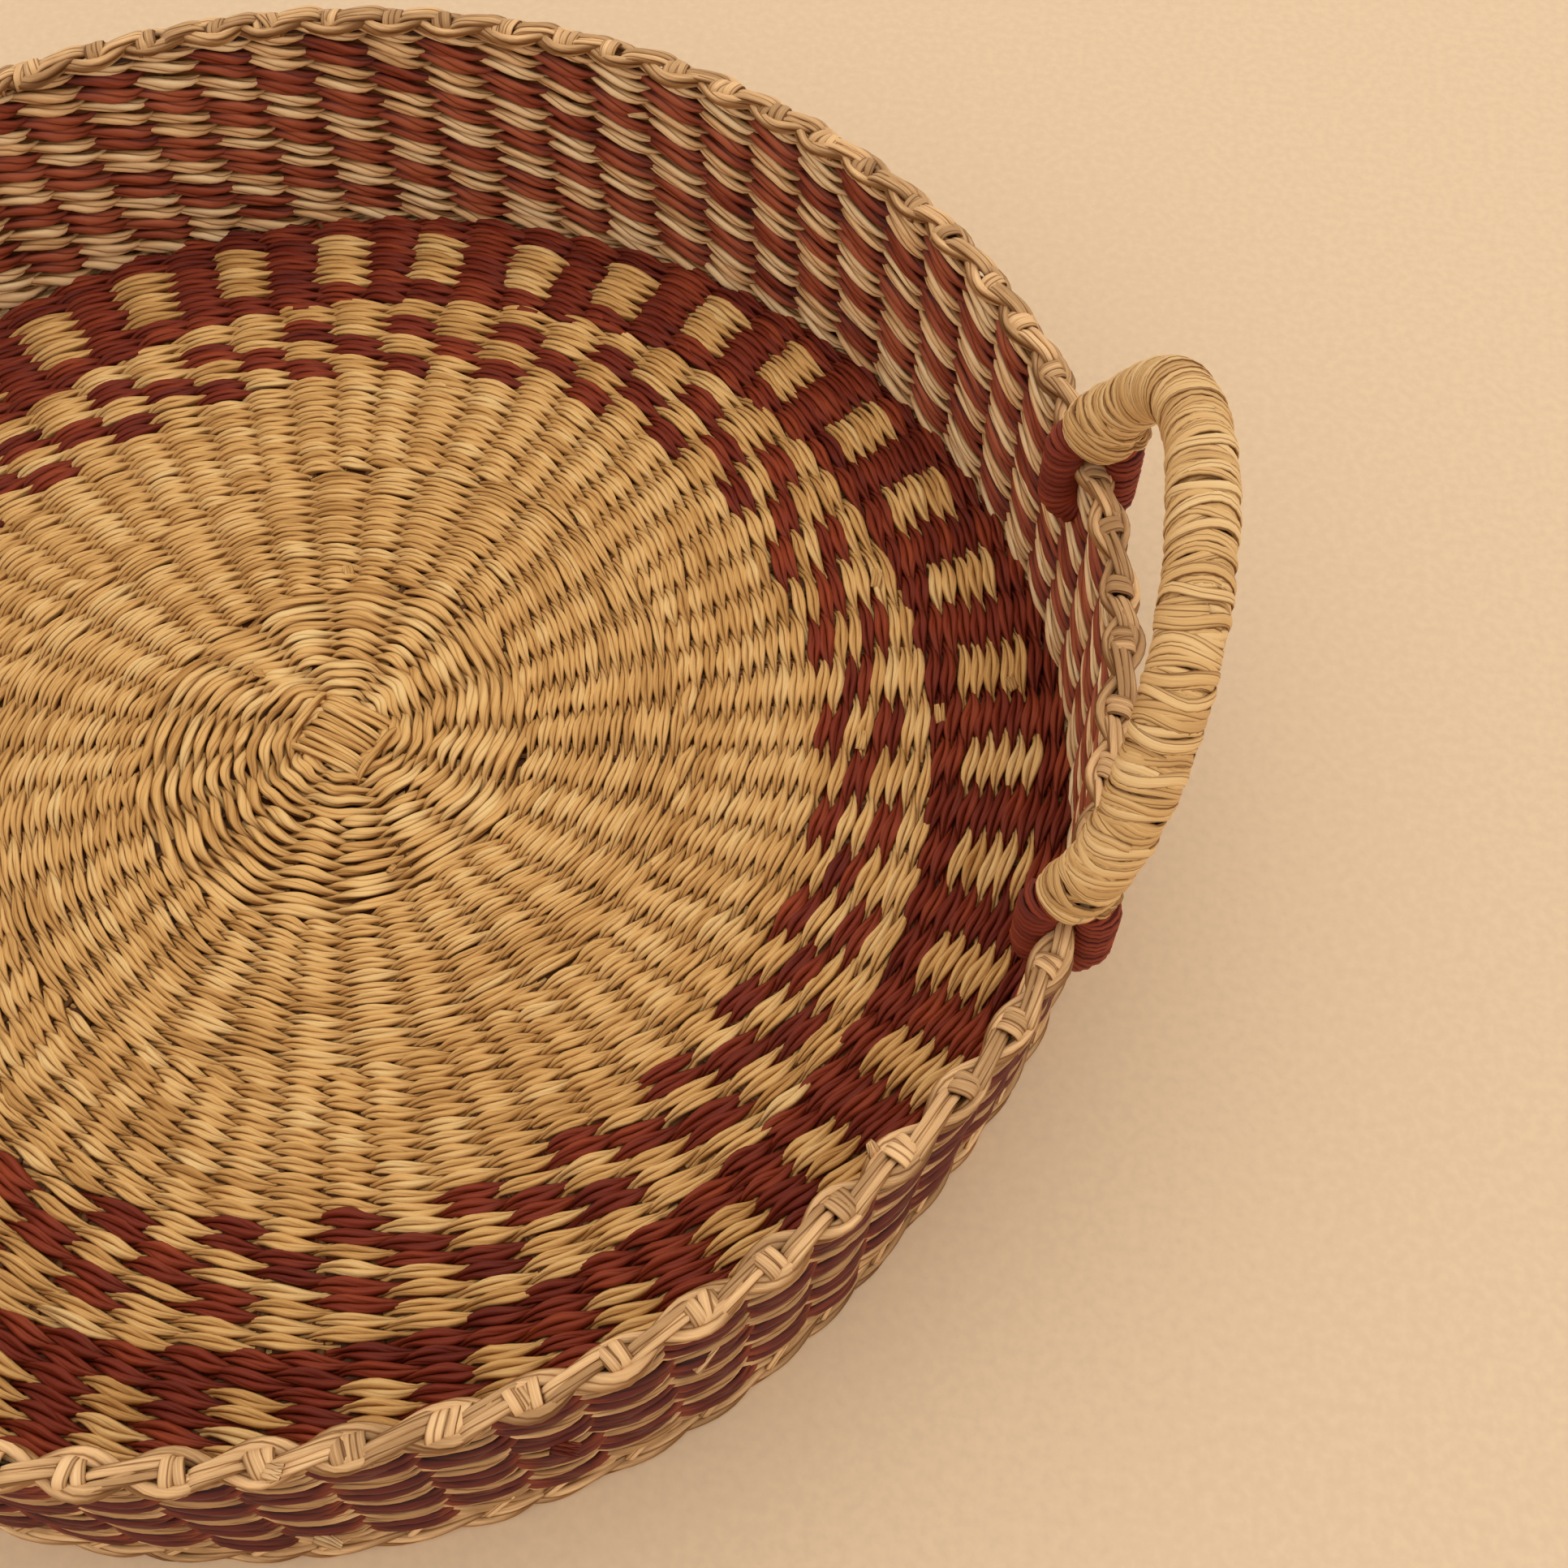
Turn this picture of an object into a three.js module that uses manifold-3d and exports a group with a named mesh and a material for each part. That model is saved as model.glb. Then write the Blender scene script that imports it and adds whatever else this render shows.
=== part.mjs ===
// Round woven tray: a twined floor and a low straight wall on radial stakes, a bound rim,
// and two wound bail handles that swing on wound rings laced through the wall.
// Millimetres, +Z up. The origin is the middle of the underside and +X points at the right handle.
import * as THREE from 'three';
import { mergeVertices } from 'three/addons/utils/BufferGeometryUtils.js';
import Module from 'manifold-3d';

// Space left between pieces that touch on the real tray
const clearance = 0.3;

// Stakes: flat radial strips that run under the upper weavers and turn up inside the wall
const stakeCount = 74;
const stakeWidth = 4;
const stakeThickness = 1.2;
const stakeFanCount = 8;
const stakeHubRadius = 14;
const stakeFanGap = 0.8;

// Floor, in rings of weavers above and below the stakes
const floorLift = 0.6;
const lowerWeaverThickness = 2.1;
const upperWeaverThickness = 2.3;
const startPatchRadius = 14;
const innerRingWidth = 36;
const dashRingWidth = 22.7;
const borderRingWidth = 6.8;
const checkRingWidth = 35.4;

// Wall, in courses of weavers inside and outside the stakes
const rimRadius = 193.5;
const wallWeaverThickness = 2;
const baseCourseHeight = 4;
const topCourseHeight = 4.3;
const footWidth = 11;

// Rim, a bound border on top of the wall
const rimHeight = 74.8;
const rimThickness = 6.8;
const rimSides = 8;

// Hinge rings: long wound loops round the rim and through the wall, two for each handle
const ringSpread = 120.6;
const ringTubeRadius = 3.1;
const ringBendRadius = 8.4;
const ringLeg = 13.5;
const ringAxisAboveRim = 5.5;
const ringBendSteps = 8;
const ringSides = 7;

// Handle: an arched core with an eye at each end, wound with strand
const archHeight = 57;
const archFullness = 2.2;
const archLean = 17;
const coreRadius = 4.9;
const coreEndRadius = 5.8;
const coreSides = 7;
const coreSteps = 18;
const coreEndSteps = 2;
const eyeHoleRadius = 4;
const eyeTubeRadius = 1.6;
const eyeSteps = 12;
const eyeSides = 5;

// Strand wound on the handle: three lengths along the grip and one round each end
const strandThickness = 2;
const strandGap = 0.5;
const loopSteps = 7;
const gripWrapCount = 3;
const gripWrapLoops = 18;
const endWrapLoops = 5;
const endWrapPitch = 2.7;
const endWrapStart = 1.6;

// Heights of the layers, from the table up
const stakeBottom = floorLift + lowerWeaverThickness + clearance;
const stakeTop = stakeBottom + stakeThickness;
const floorTop = stakeTop + clearance + upperWeaverThickness;
const wallTop = rimHeight - rimThickness / 2 - clearance;
const baseCourseTop = floorTop + baseCourseHeight;
const checkCourseTop = wallTop - topCourseHeight - clearance;

// Radii of the layers, from the axis of the tray to the flats of the facets
const facetCount = stakeCount / 2;
const facetAngle = 2 * Math.PI / facetCount;
const stakePitch = 2 * Math.PI / stakeCount;
const stakeInner = rimRadius - stakeThickness / 2;
const stakeOuter = rimRadius + stakeThickness / 2;
const fanHubRadius = (stakeWidth + stakeFanGap) / stakePitch;
const wallInner = stakeInner - clearance - wallWeaverThickness;
const wallOuter = stakeOuter + clearance + wallWeaverThickness;

// Radii at which the floor's rings meet, from the wall inward and from the start patch outward
const borderRadius = wallInner - checkRingWidth;
const dashRadius = borderRadius - borderRingWidth;
const naturalRadius = dashRadius - dashRingWidth;
const innerRingRadius = startPatchRadius + innerRingWidth;

// Places of the hinge axis and of the two rings on it, for the right handle
const ringAngle = Math.asin(ringSpread / 2 / rimRadius);
const axisRadius = rimRadius * Math.cos(ringAngle);
const axisHeight = rimHeight + ringAxisAboveRim;
const eyeCentreRadius = eyeHoleRadius + eyeTubeRadius;

const wasm = await Module();
wasm.setup();

const straw = { color: 0xd9b877, roughness: 0.75, metalness: 0 };
const paleStraw = { color: 0xe3c58c, roughness: 0.7, metalness: 0 };
const darkStraw = { color: 0xb8935a, roughness: 0.8, metalness: 0 };
const redStraw = { color: 0x7a2f28, roughness: 0.75, metalness: 0 };

const tray = new THREE.Group();

function addMesh(group, name, geometry, look) {
  const mesh = new THREE.Mesh(geometry, new THREE.MeshStandardMaterial(look));
  mesh.name = name;
  group.add(mesh);
}

// Boolean joins and cuts
function solid(geometry) {
  const bare = geometry.clone();
  bare.deleteAttribute('normal');
  bare.deleteAttribute('uv');
  const merged = mergeVertices(bare, 1e-4);
  const vertProperties = new Float32Array(merged.attributes.position.array);
  const triVerts = new Uint32Array(merged.index.array);
  return new wasm.Manifold(new wasm.Mesh({ numProp: 3, vertProperties, triVerts }));
}

function geometryOf(body) {
  const mesh = body.getMesh();
  const geometry = new THREE.BufferGeometry();
  geometry.setAttribute('position', new THREE.BufferAttribute(mesh.vertProperties, 3));
  geometry.setIndex(new THREE.BufferAttribute(mesh.triVerts, 1));
  geometry.computeVertexNormals();
  return geometry;
}

function join(geometries) {
  const bodies = geometries.map(solid);
  return bodies.reduce((whole, body) => whole.add(body));
}

// Skin over a row of section outlines, closed at its ends or joined back to its start
function sweep(sections, closed) {
  const sides = sections[0].length;
  const positions = sections.flat().flatMap((point) => point.toArray());
  const triangles = [];
  const spans = closed ? sections.length : sections.length - 1;
  for (let span = 0; span < spans; span += 1) {
    const near = span * sides;
    const far = ((span + 1) % sections.length) * sides;
    for (let side = 0; side < sides; side += 1) {
      const next = (side + 1) % sides;
      triangles.push(near + side, near + next, far + next);
      triangles.push(near + side, far + next, far + side);
    }
  }
  if (!closed) {
    const last = (sections.length - 1) * sides;
    for (let side = 1; side < sides - 1; side += 1) {
      triangles.push(0, side + 1, side);
      triangles.push(last, last + side, last + side + 1);
    }
  }
  const geometry = new THREE.BufferGeometry();
  geometry.setAttribute('position', new THREE.Float32BufferAttribute(positions, 3));
  geometry.setIndex(triangles);
  geometry.computeVertexNormals();
  return geometry;
}

// Faceted ring about the Z axis, with a flat of the facets facing +X
function turned(profile) {
  const toCorner = 1 / Math.cos(facetAngle / 2);
  const points = profile.map(([radius, height]) => new THREE.Vector2(radius * toCorner, height));
  const geometry = new THREE.LatheGeometry(points, facetCount);
  geometry.rotateX(Math.PI / 2);
  geometry.rotateZ(Math.PI / 2 + facetAngle / 2);
  return geometry;
}

function band(inner, outer, bottom, top) {
  return turned([[inner, bottom], [outer, bottom], [outer, top], [inner, top], [inner, bottom]]);
}

function disc(radius, bottom, top) {
  return turned([[0, bottom], [radius, bottom], [radius, top], [0, top]]);
}

// Angles of the four hinge rings about the Z axis
const ringAngles = [ringAngle, Math.PI - ringAngle, Math.PI + ringAngle, 2 * Math.PI - ringAngle];

// A stake that would stand in a ring's way is pushed aside, as the weaver parts the stakes for it
function stakeAngle(index) {
  const even = (index + 0.5) * stakePitch;
  const room = (stakeWidth / 2 + ringTubeRadius + 2 * clearance) / rimRadius;
  const ring = ringAngles.find((angle) => Math.abs(angle - even) < room);
  if (ring === undefined) {
    return even;
  }
  return ring + (even < ring ? -room : room);
}

// One stake: a flat run along the floor that turns up inside the wall
function stake(index) {
  const angle = stakeAngle(index);
  const flat = Math.round(angle / facetAngle) * facetAngle;
  const shift = rimRadius / Math.cos(angle - flat) - rimRadius;
  const start = fanHubRadius * Math.cos(Math.PI / stakeFanCount / 2) - stakeThickness;
  const outline = new THREE.Shape();
  outline.moveTo(start, stakeBottom);
  outline.lineTo(stakeOuter + shift, stakeBottom);
  outline.lineTo(stakeOuter + shift, wallTop);
  outline.lineTo(stakeInner + shift, wallTop);
  outline.lineTo(stakeInner + shift, stakeTop);
  outline.lineTo(start, stakeTop);
  const geometry = new THREE.ExtrudeGeometry(outline, { depth: stakeWidth, bevelEnabled: false });
  geometry.rotateX(Math.PI / 2);
  geometry.translate(0, stakeWidth / 2, 0);
  geometry.rotateZ(angle);
  return geometry;
}

// Wedge that the stakes of one fan share near the middle of the floor
function fanHub(firstAngle, lastAngle) {
  const outline = new THREE.Shape();
  const outer = fanHubRadius;
  const trim = stakeFanGap / 2;
  const from = firstAngle - stakePitch / 2;
  const to = lastAngle + stakePitch / 2;
  const corners = [
    [stakeHubRadius, from + trim / stakeHubRadius],
    [outer, from + trim / outer],
    [outer, (from + to) / 2],
    [outer, to - trim / outer],
    [stakeHubRadius, to - trim / stakeHubRadius],
  ];
  outline.setFromPoints(corners.map(([radius, angle]) =>
    new THREE.Vector2(radius * Math.cos(angle), radius * Math.sin(angle))));
  const geometry = new THREE.ExtrudeGeometry(outline, { depth: stakeThickness, bevelEnabled: false });
  geometry.translate(0, 0, stakeBottom);
  return geometry;
}

function addStakes(group) {
  for (let fan = 0; fan < stakeFanCount; fan += 1) {
    const first = Math.round(fan * stakeCount / stakeFanCount);
    const last = Math.round((fan + 1) * stakeCount / stakeFanCount) - 1;
    const pieces = [fanHub((first + 0.5) * stakePitch, (last + 0.5) * stakePitch)];
    for (let index = first; index <= last; index += 1) {
      pieces.push(stake(index));
    }
    addMesh(group, `stake_fan_${fan + 1}`, geometryOf(join(pieces)), darkStraw);
  }
}

function addFloor(group) {
  const bottom = stakeTop + clearance;
  const gap = clearance / 2;
  const ring = (inner, outer) => band(inner + gap, outer - gap, bottom, floorTop);
  addMesh(group, 'start_patch', disc(startPatchRadius - gap, bottom, floorTop), straw);
  addMesh(group, 'floor_inner_ring', ring(startPatchRadius, innerRingRadius), straw);
  addMesh(group, 'floor_outer_ring', ring(innerRingRadius, naturalRadius), straw);
  addMesh(group, 'floor_dash_ring', ring(naturalRadius, dashRadius), redStraw);
  addMesh(group, 'floor_border_ring', ring(dashRadius, borderRadius), straw);
  addMesh(group, 'floor_check_ring', ring(borderRadius, wallInner - gap), redStraw);
}

function addUnderside(group) {
  const bottom = floorLift;
  const top = floorLift + lowerWeaverThickness;
  const gap = clearance / 2;
  const footInner = wallOuter - footWidth;
  const checkRing = band(borderRadius + gap, footInner - clearance, bottom, top);
  addMesh(group, 'underside_center', disc(borderRadius - gap, bottom, top), straw);
  addMesh(group, 'underside_check_ring', checkRing, redStraw);
  addMesh(group, 'foot_row', band(footInner, wallOuter, 0, top), paleStraw);
}

// Path of a hinge ring round the hinge axis: two bends and two straight legs, in the XZ plane
function ringPath() {
  const points = [];
  for (const [lift, start] of [[0, 0], [-ringLeg, Math.PI]]) {
    for (let step = 0; step <= ringBendSteps; step += 1) {
      const angle = start + Math.PI * step / ringBendSteps;
      points.push({ lift, angle });
    }
  }
  return points;
}

function hingeRing(tubeRadius) {
  const sections = ringPath().map(({ lift, angle }) => {
    const outward = new THREE.Vector3(Math.cos(angle), 0, Math.sin(angle));
    const centre = outward.clone().multiplyScalar(ringBendRadius);
    centre.z += lift;
    const sideways = new THREE.Vector3(0, 1, 0);
    const section = [];
    for (let side = 0; side < ringSides; side += 1) {
      const turn = 2 * Math.PI * (side + 0.5) / ringSides;
      const point = centre.clone();
      point.addScaledVector(outward, tubeRadius * Math.cos(turn));
      point.addScaledVector(sideways, tubeRadius * Math.sin(turn));
      section.push(point);
    }
    return section;
  });
  return sweep(sections, true);
}

// Hinge ring at one end of the axis of the right or the left handle
function placedRing(tubeRadius, facing, end) {
  const geometry = hingeRing(tubeRadius);
  geometry.translate(axisRadius, end * ringSpread / 2, axisHeight);
  geometry.rotateZ(facing);
  return geometry;
}

const handles = [
  { name: 'right', facing: 0 },
  { name: 'left', facing: Math.PI },
];
const ends = [
  { name: 'front', side: -1 },
  { name: 'back', side: 1 },
];

function cutForRings(geometry) {
  let body = solid(geometry);
  for (const handle of handles) {
    for (const end of ends) {
      body = body.subtract(solid(placedRing(ringTubeRadius + clearance, handle.facing, end.side)));
    }
  }
  return geometryOf(body);
}

function addWall(group) {
  const insideStart = wallInner + wallWeaverThickness;
  const outsideStart = wallOuter - wallWeaverThickness;
  const floorSeat = stakeTop + clearance;
  const outerSeat = floorLift + lowerWeaverThickness + clearance;
  const checkBottom = baseCourseTop + clearance;
  const topBottom = checkCourseTop + clearance;
  const checksInside = band(wallInner, insideStart, checkBottom, checkCourseTop);
  const checksOutside = band(outsideStart, wallOuter, checkBottom, checkCourseTop);
  addMesh(group, 'wall_base_inside', band(wallInner, insideStart, floorSeat, baseCourseTop), straw);
  addMesh(group, 'wall_base_outside', band(outsideStart, wallOuter, outerSeat, baseCourseTop), straw);
  addMesh(group, 'wall_checks_inside', cutForRings(checksInside), redStraw);
  addMesh(group, 'wall_checks_outside', cutForRings(checksOutside), redStraw);
  addMesh(group, 'wall_top_inside', band(wallInner, insideStart, topBottom, wallTop), paleStraw);
  addMesh(group, 'wall_top_outside', band(outsideStart, wallOuter, topBottom, wallTop), paleStraw);
}

function addRim(group) {
  const profile = [];
  for (let side = 0; side <= rimSides; side += 1) {
    const turn = 2 * Math.PI * (side + 0.5) / rimSides;
    const reach = rimThickness / 2 / Math.cos(Math.PI / rimSides);
    profile.push([rimRadius + reach * Math.cos(turn), rimHeight + reach * Math.sin(turn)]);
  }
  addMesh(group, 'rim_border', turned(profile), paleStraw);
}

// Centre line of a handle, in the YZ plane of the handle, from its front eye over to its back eye
class HandleArch extends THREE.Curve {
  constructor() {
    super();
    const neck = ringBendRadius + eyeHoleRadius + eyeTubeRadius / 2;
    this.start = Math.asin((neck / archHeight) ** (archFullness / 2));
    this.reach = ringSpread / 2 / Math.cos(this.start) ** (2 / archFullness);
  }

  getPoint(t, target = new THREE.Vector3()) {
    const angle = this.start + (Math.PI - 2 * this.start) * t;
    const across = Math.abs(Math.cos(angle)) ** (2 / archFullness);
    const up = Math.sin(angle) ** (2 / archFullness);
    return target.set(0, -Math.sign(Math.cos(angle)) * across * this.reach, up * archHeight);
  }
}

// Part of a longer curve, between two distances along it
class Stretch extends THREE.Curve {
  constructor(whole, from, to) {
    super();
    this.whole = whole;
    this.from = from / whole.getLength();
    this.to = to / whole.getLength();
  }

  getPoint(t, target = new THREE.Vector3()) {
    return this.whole.getPointAt(this.from + (this.to - this.from) * t, target);
  }
}

const arch = new HandleArch();
const archLength = arch.getLength();
const endWrapLength = endWrapStart + endWrapLoops * endWrapPitch;
const gripWrapPitch = (archLength - 2 * endWrapLength) / (gripWrapCount * (gripWrapLoops + 1) + 1);

function roundShape(radius, sides) {
  const shape = new THREE.Shape();
  const points = [];
  for (let side = 0; side < sides; side += 1) {
    const turn = 2 * Math.PI * side / sides;
    points.push(new THREE.Vector2(radius * Math.cos(turn), radius * Math.sin(turn)));
  }
  return shape.setFromPoints(points);
}

function rod(path, radius, steps) {
  return new THREE.ExtrudeGeometry(roundShape(radius, coreSides), { steps, extrudePath: path });
}

function eye(side) {
  const geometry = new THREE.TorusGeometry(eyeCentreRadius, eyeTubeRadius, eyeSides, eyeSteps);
  geometry.rotateY(Math.PI / 2);
  geometry.translate(0, side * ringSpread / 2, ringBendRadius);
  return geometry;
}

function core() {
  const lap = clearance;
  const frontEnd = new Stretch(arch, 0, endWrapLength);
  const middle = new Stretch(arch, endWrapLength - lap, archLength - endWrapLength + lap);
  const backEnd = new Stretch(arch, archLength - endWrapLength, archLength);
  return geometryOf(join([
    rod(middle, coreRadius, coreSteps),
    rod(frontEnd, coreEndRadius, coreEndSteps),
    rod(backEnd, coreEndRadius, coreEndSteps),
    eye(-1),
    eye(1),
  ]));
}

// Point, direction and bend of the arch at a distance along it
function archFrame(distance) {
  const u = THREE.MathUtils.clamp(distance / archLength, 0, 1);
  const step = 1 / coreSteps;
  const point = arch.getPointAt(u);
  const along = arch.getTangentAt(u);
  const sideways = new THREE.Vector3(1, 0, 0);
  const outward = new THREE.Vector3().crossVectors(sideways, along);
  const before = Math.max(u - step / 2, 0);
  const after = Math.min(u + step / 2, 1);
  const turn = arch.getTangentAt(before).angleTo(arch.getTangentAt(after));
  const bend = turn / ((after - before) * archLength);
  return { point, along, sideways, outward, bend };
}

// Strand wound round the arch: one unbroken tube, narrower where the loops crowd inside the bend
function winding(start, pitch, loops, radius) {
  const sections = [];
  const last = loops * loopSteps;
  for (let step = 0; step <= last; step += 1) {
    const turn = 2 * Math.PI * step / loopSteps;
    const frame = archFrame(start + pitch * step / loopSteps);
    const radial = frame.outward.clone().multiplyScalar(Math.cos(turn));
    radial.addScaledVector(frame.sideways, Math.sin(turn));
    const localPitch = pitch * (1 + frame.bend * radius * Math.cos(turn));
    const half = (localPitch - strandGap) / 2;
    const centre = frame.point.clone().addScaledVector(radial, radius);
    sections.push([
      centre.clone().addScaledVector(frame.along, half),
      centre.clone().addScaledVector(radial, strandThickness / 2),
      centre.clone().addScaledVector(frame.along, -half),
      centre.clone().addScaledVector(radial, -strandThickness / 2),
    ]);
  }
  const firstEnd = straightEnd(sections[0], sections[1]);
  const lastEnd = straightEnd(sections[last], sections[last - 1]);
  return [firstEnd, ...sections, lastEnd];
}

// Section one strand's width beyond an end of a winding, straight on from it
function straightEnd(end, before) {
  const centre = (section) => section[0].clone().add(section[2]).multiplyScalar(0.5);
  const run = centre(end).sub(centre(before)).setLength(strandThickness);
  return end.map((point) => point.clone().add(run));
}

// Least distance between the points of neighbouring loops
function leastGap(sections) {
  let least = Infinity;
  sections.forEach((section, index) => {
    const nearby = sections.slice(index + loopSteps - 1, index + loopSteps + 2).flat();
    for (const point of section) {
      for (const other of nearby) {
        least = Math.min(least, point.distanceTo(other));
      }
    }
  });
  return least;
}

function addWinding(group, name, sections, look) {
  console.log(`${name}: least gap between loops ${leastGap(sections).toFixed(2)} mm`);
  addMesh(group, name, sweep(sections, false), look);
}

// Radius at which a strand lies on a rod, clear of the flats between the steps of its loops
function wrapRadius(rodRadius) {
  return (rodRadius + clearance) / Math.cos(Math.PI / loopSteps) + strandThickness / 2;
}

function addWindings(group, name) {
  const gripRadius = wrapRadius(coreRadius);
  const endRadius = wrapRadius(coreEndRadius);
  const endWrapRun = endWrapLoops * endWrapPitch;
  for (let wrap = 0; wrap < gripWrapCount; wrap += 1) {
    const start = endWrapLength + gripWrapPitch * (1 + wrap * (gripWrapLoops + 1));
    const sections = winding(start, gripWrapPitch, gripWrapLoops, gripRadius);
    addWinding(group, `${name}_grip_wrap_${wrap + 1}`, sections, paleStraw);
  }
  const frontWrap = winding(endWrapStart, endWrapPitch, endWrapLoops, endRadius);
  const backWrap = winding(archLength - endWrapStart - endWrapRun, endWrapPitch, endWrapLoops, endRadius);
  addWinding(group, `${name}_end_wrap_front`, frontWrap, straw);
  addWinding(group, `${name}_end_wrap_back`, backWrap, straw);
}

function addHandle(group, name, facing) {
  const turnedGroup = new THREE.Group();
  const hinge = new THREE.Group();
  turnedGroup.rotation.z = facing;
  hinge.position.set(axisRadius, 0, axisHeight);
  hinge.rotation.y = THREE.MathUtils.degToRad(archLean);
  addMesh(hinge, `${name}_core`, core(), darkStraw);
  addWindings(hinge, name);
  turnedGroup.add(hinge);
  group.add(turnedGroup);
}

addStakes(tray);
addFloor(tray);
addUnderside(tray);
addWall(tray);
addRim(tray);
for (const handle of handles) {
  for (const end of ends) {
    const ring = placedRing(ringTubeRadius, handle.facing, end.side);
    addMesh(tray, `${handle.name}_ring_${end.name}`, ring, redStraw);
  }
  addHandle(tray, handle.name, handle.facing);
}

export default tray;
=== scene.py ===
import bpy
import math
import numpy as np
from functools import partial
from mathutils import Matrix, Vector


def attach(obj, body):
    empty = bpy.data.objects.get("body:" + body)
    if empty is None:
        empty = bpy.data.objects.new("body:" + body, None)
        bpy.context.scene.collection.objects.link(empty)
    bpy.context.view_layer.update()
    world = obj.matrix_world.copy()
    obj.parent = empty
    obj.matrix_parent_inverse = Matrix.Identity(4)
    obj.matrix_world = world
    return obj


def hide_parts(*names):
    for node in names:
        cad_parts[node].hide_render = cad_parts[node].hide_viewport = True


# Looks of the woven tray: twined straw strands, a bound rim, wound hinge rings and wound handles.
# Metres, in the frame of the CAD model, and angles in degrees. Every strand is a swept mesh.
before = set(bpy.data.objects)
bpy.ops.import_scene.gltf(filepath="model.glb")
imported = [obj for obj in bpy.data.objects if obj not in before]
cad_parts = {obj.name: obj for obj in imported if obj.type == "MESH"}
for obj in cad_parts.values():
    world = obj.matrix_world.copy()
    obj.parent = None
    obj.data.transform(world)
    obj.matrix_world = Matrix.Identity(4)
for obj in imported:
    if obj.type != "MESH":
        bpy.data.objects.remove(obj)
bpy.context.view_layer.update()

# View of the photograph, solved from points on the rim, the foot and a floor ring
FOCAL_PIXELS = 2378
PHOTO_PIXELS = 1932
SENSOR_WIDTH = 36
CAMERA_DISTANCE = 0.5186
CAMERA_AZIMUTH = -58
CAMERA_ELEVATION = 56.68
CAMERA_YAW = 11.95
CAMERA_PITCH = 5.35
CAMERA_ROLL = 20.44
CLIP_START = 0.01

# Light and table
SKY_COLOUR = (1.0, 0.95, 0.88)
SKY_STRENGTH = 0.96
KEY_PLACE = (0.4, 0.15, 1.3)
KEY_SIZE = 1.4
KEY_POWER = 3
KEY_COLOUR = (1.0, 0.95, 0.87)
TABLE_SIZE = 6
TABLE_COLOUR = (0.78, 0.58, 0.385)
TABLE_SHADES = (0.96, 1.03)

# Floor: rows of twined strands in rings, from the middle out
FLOOR_MIDDLE = 0.0036
INNER_START = 0.0085
FIRST_STAKES_END = 0.0243
INNER_END = 0.050
THIRD_STAKES_END = 0.0905
NATURAL_END = 0.1257
DASH_END = 0.1484
BORDER_END = 0.1552
FLOOR_END = 0.1912
FLOOR_BULGES = ((63, 33, 0.0045), (-38, 18, -0.0018), (136, 20, -0.0020))
SPARSE_STAKES = 36
SPARSE_ANGLE = 2
SPARSE_ROWS = 13
DASH_STAKES = 60
DASH_ANGLE = 10.3
DENSE_ROWS = 10
DASH_ROWS = 6
BORDER_ROWS = 2
BAND_ROWS = 9
BAND_SPLIT = 5
BAND_RED_ROWS = 2
BAND_ANGLE = 5.65

# Inner zones of the floor: inner edge, outer edge, rows, stakes and angle of the first stake
INNER_ZONES = ((INNER_START, FIRST_STAKES_END, 5, 8, 11), (FIRST_STAKES_END, INNER_END, 8, 16, 4))

# Start patch in the middle of the floor, with the section of its strands as shares of their pitch
START_RADIUS = 0.014
START_SHIFT = (0.0017, 0.0040)
START_ANGLE = -21
START_STRANDS = 9
START_PITCH = 0.0021
START_HALF_LENGTH = 0.0112
START_LIFT = 0.0028
START_END_LIFT = 0.0031
START_DROP = 0.0036
START_SKEW = 0.06
START_HALF_WIDTH = 0.56
START_HALF_THICKNESS = 0.62
START_TAPER = 0.3

# Wall: rows of twined strands between the floor and the rim
STAKE_COUNT = 74
RIM_RADIUS = 0.1935
BASE_BOTTOM = 0.0046
BASE_TOP = 0.0097
CHECK_TOP = 0.0711
TOP_ROW_TOP = 0.0747
CHECK_ROWS = 14
WALL_CHECK_ANGLE = 7.5
FOOT_DENT = (-31, 15, -0.0048)
RIM_BULGE = (-25, 9, 0.0020)

# Foot: strands with their reach past the wall's middle, swing and start of the twist, and slanting stakes
FOOT_HEIGHT = 0.0027
FOOT_LIFT = 0.0008
FOOT_HALF = 0.0016
FOOT_ROUTES = ((0.0019, 0.0011, 0), (0.0019, 0.0011, 1), (-0.0016, 0.0, 0))
SLANT_TURN = (1.4, 2.4)
SLANT_RISE = 0.002
SLANT_REACH = (0.0018, 0.0028)
SLANT_HALF_WIDTH = 0.0015
SLANT_HALF_THICKNESS = 0.0007

# Stakes inside the weave, and dark sheets between them: both darkened as painted shade in the gaps
STAKE_HALF_WIDTH = 0.0017
STAKE_TIP = 0.0004
STAKE_TAPER = 0.010
STAKE_HALF_THICKNESS = 0.0006
STAKE_BEND = (0.004, 0.003)
LONG_STAKE_EVERY = 9
SHEET_DROP = 0.0008
SHEET_HALF_THICKNESS = 0.0004
SHEET_DYE = 0.15
HIDDEN_TUCK_SHADE = 2.4

# Rim: two strands that cross between the stakes and go round a knot at every stake, and the stakes' tails
RIM_STRAND_HEIGHT = 0.0759
RIM_SWING = 0.0029
RIM_SWAY = 0.0005
RIM_CROSSING = 0.0006
RIM_DIP = 0.0006
RIM_STRAND_HALF = 0.0018
RIM_TONES = (0.0, 0.5)
KNOT_STRIP = 0.0033
KNOT_STRIP_THICKNESS = 0.0009
KNOT_OVERLAP = 0.62
KNOT_STEP = 0.0004
KNOT_LEAN = 0.45
KNOT_HALF_SPAN = 0.0028
KNOT_TOP = 0.0783
KNOT_FOOT = 0.0738
TAIL_START = 0.0016
TAIL_STOP = 0.0018
TAIL_REACH = (0.0018, -0.0012)
TAIL_TOP = 0.0778
TAIL_HALF = 0.0013
TAIL_SPREAD = 0.0009
TAIL_DIP = 0.0019

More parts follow.
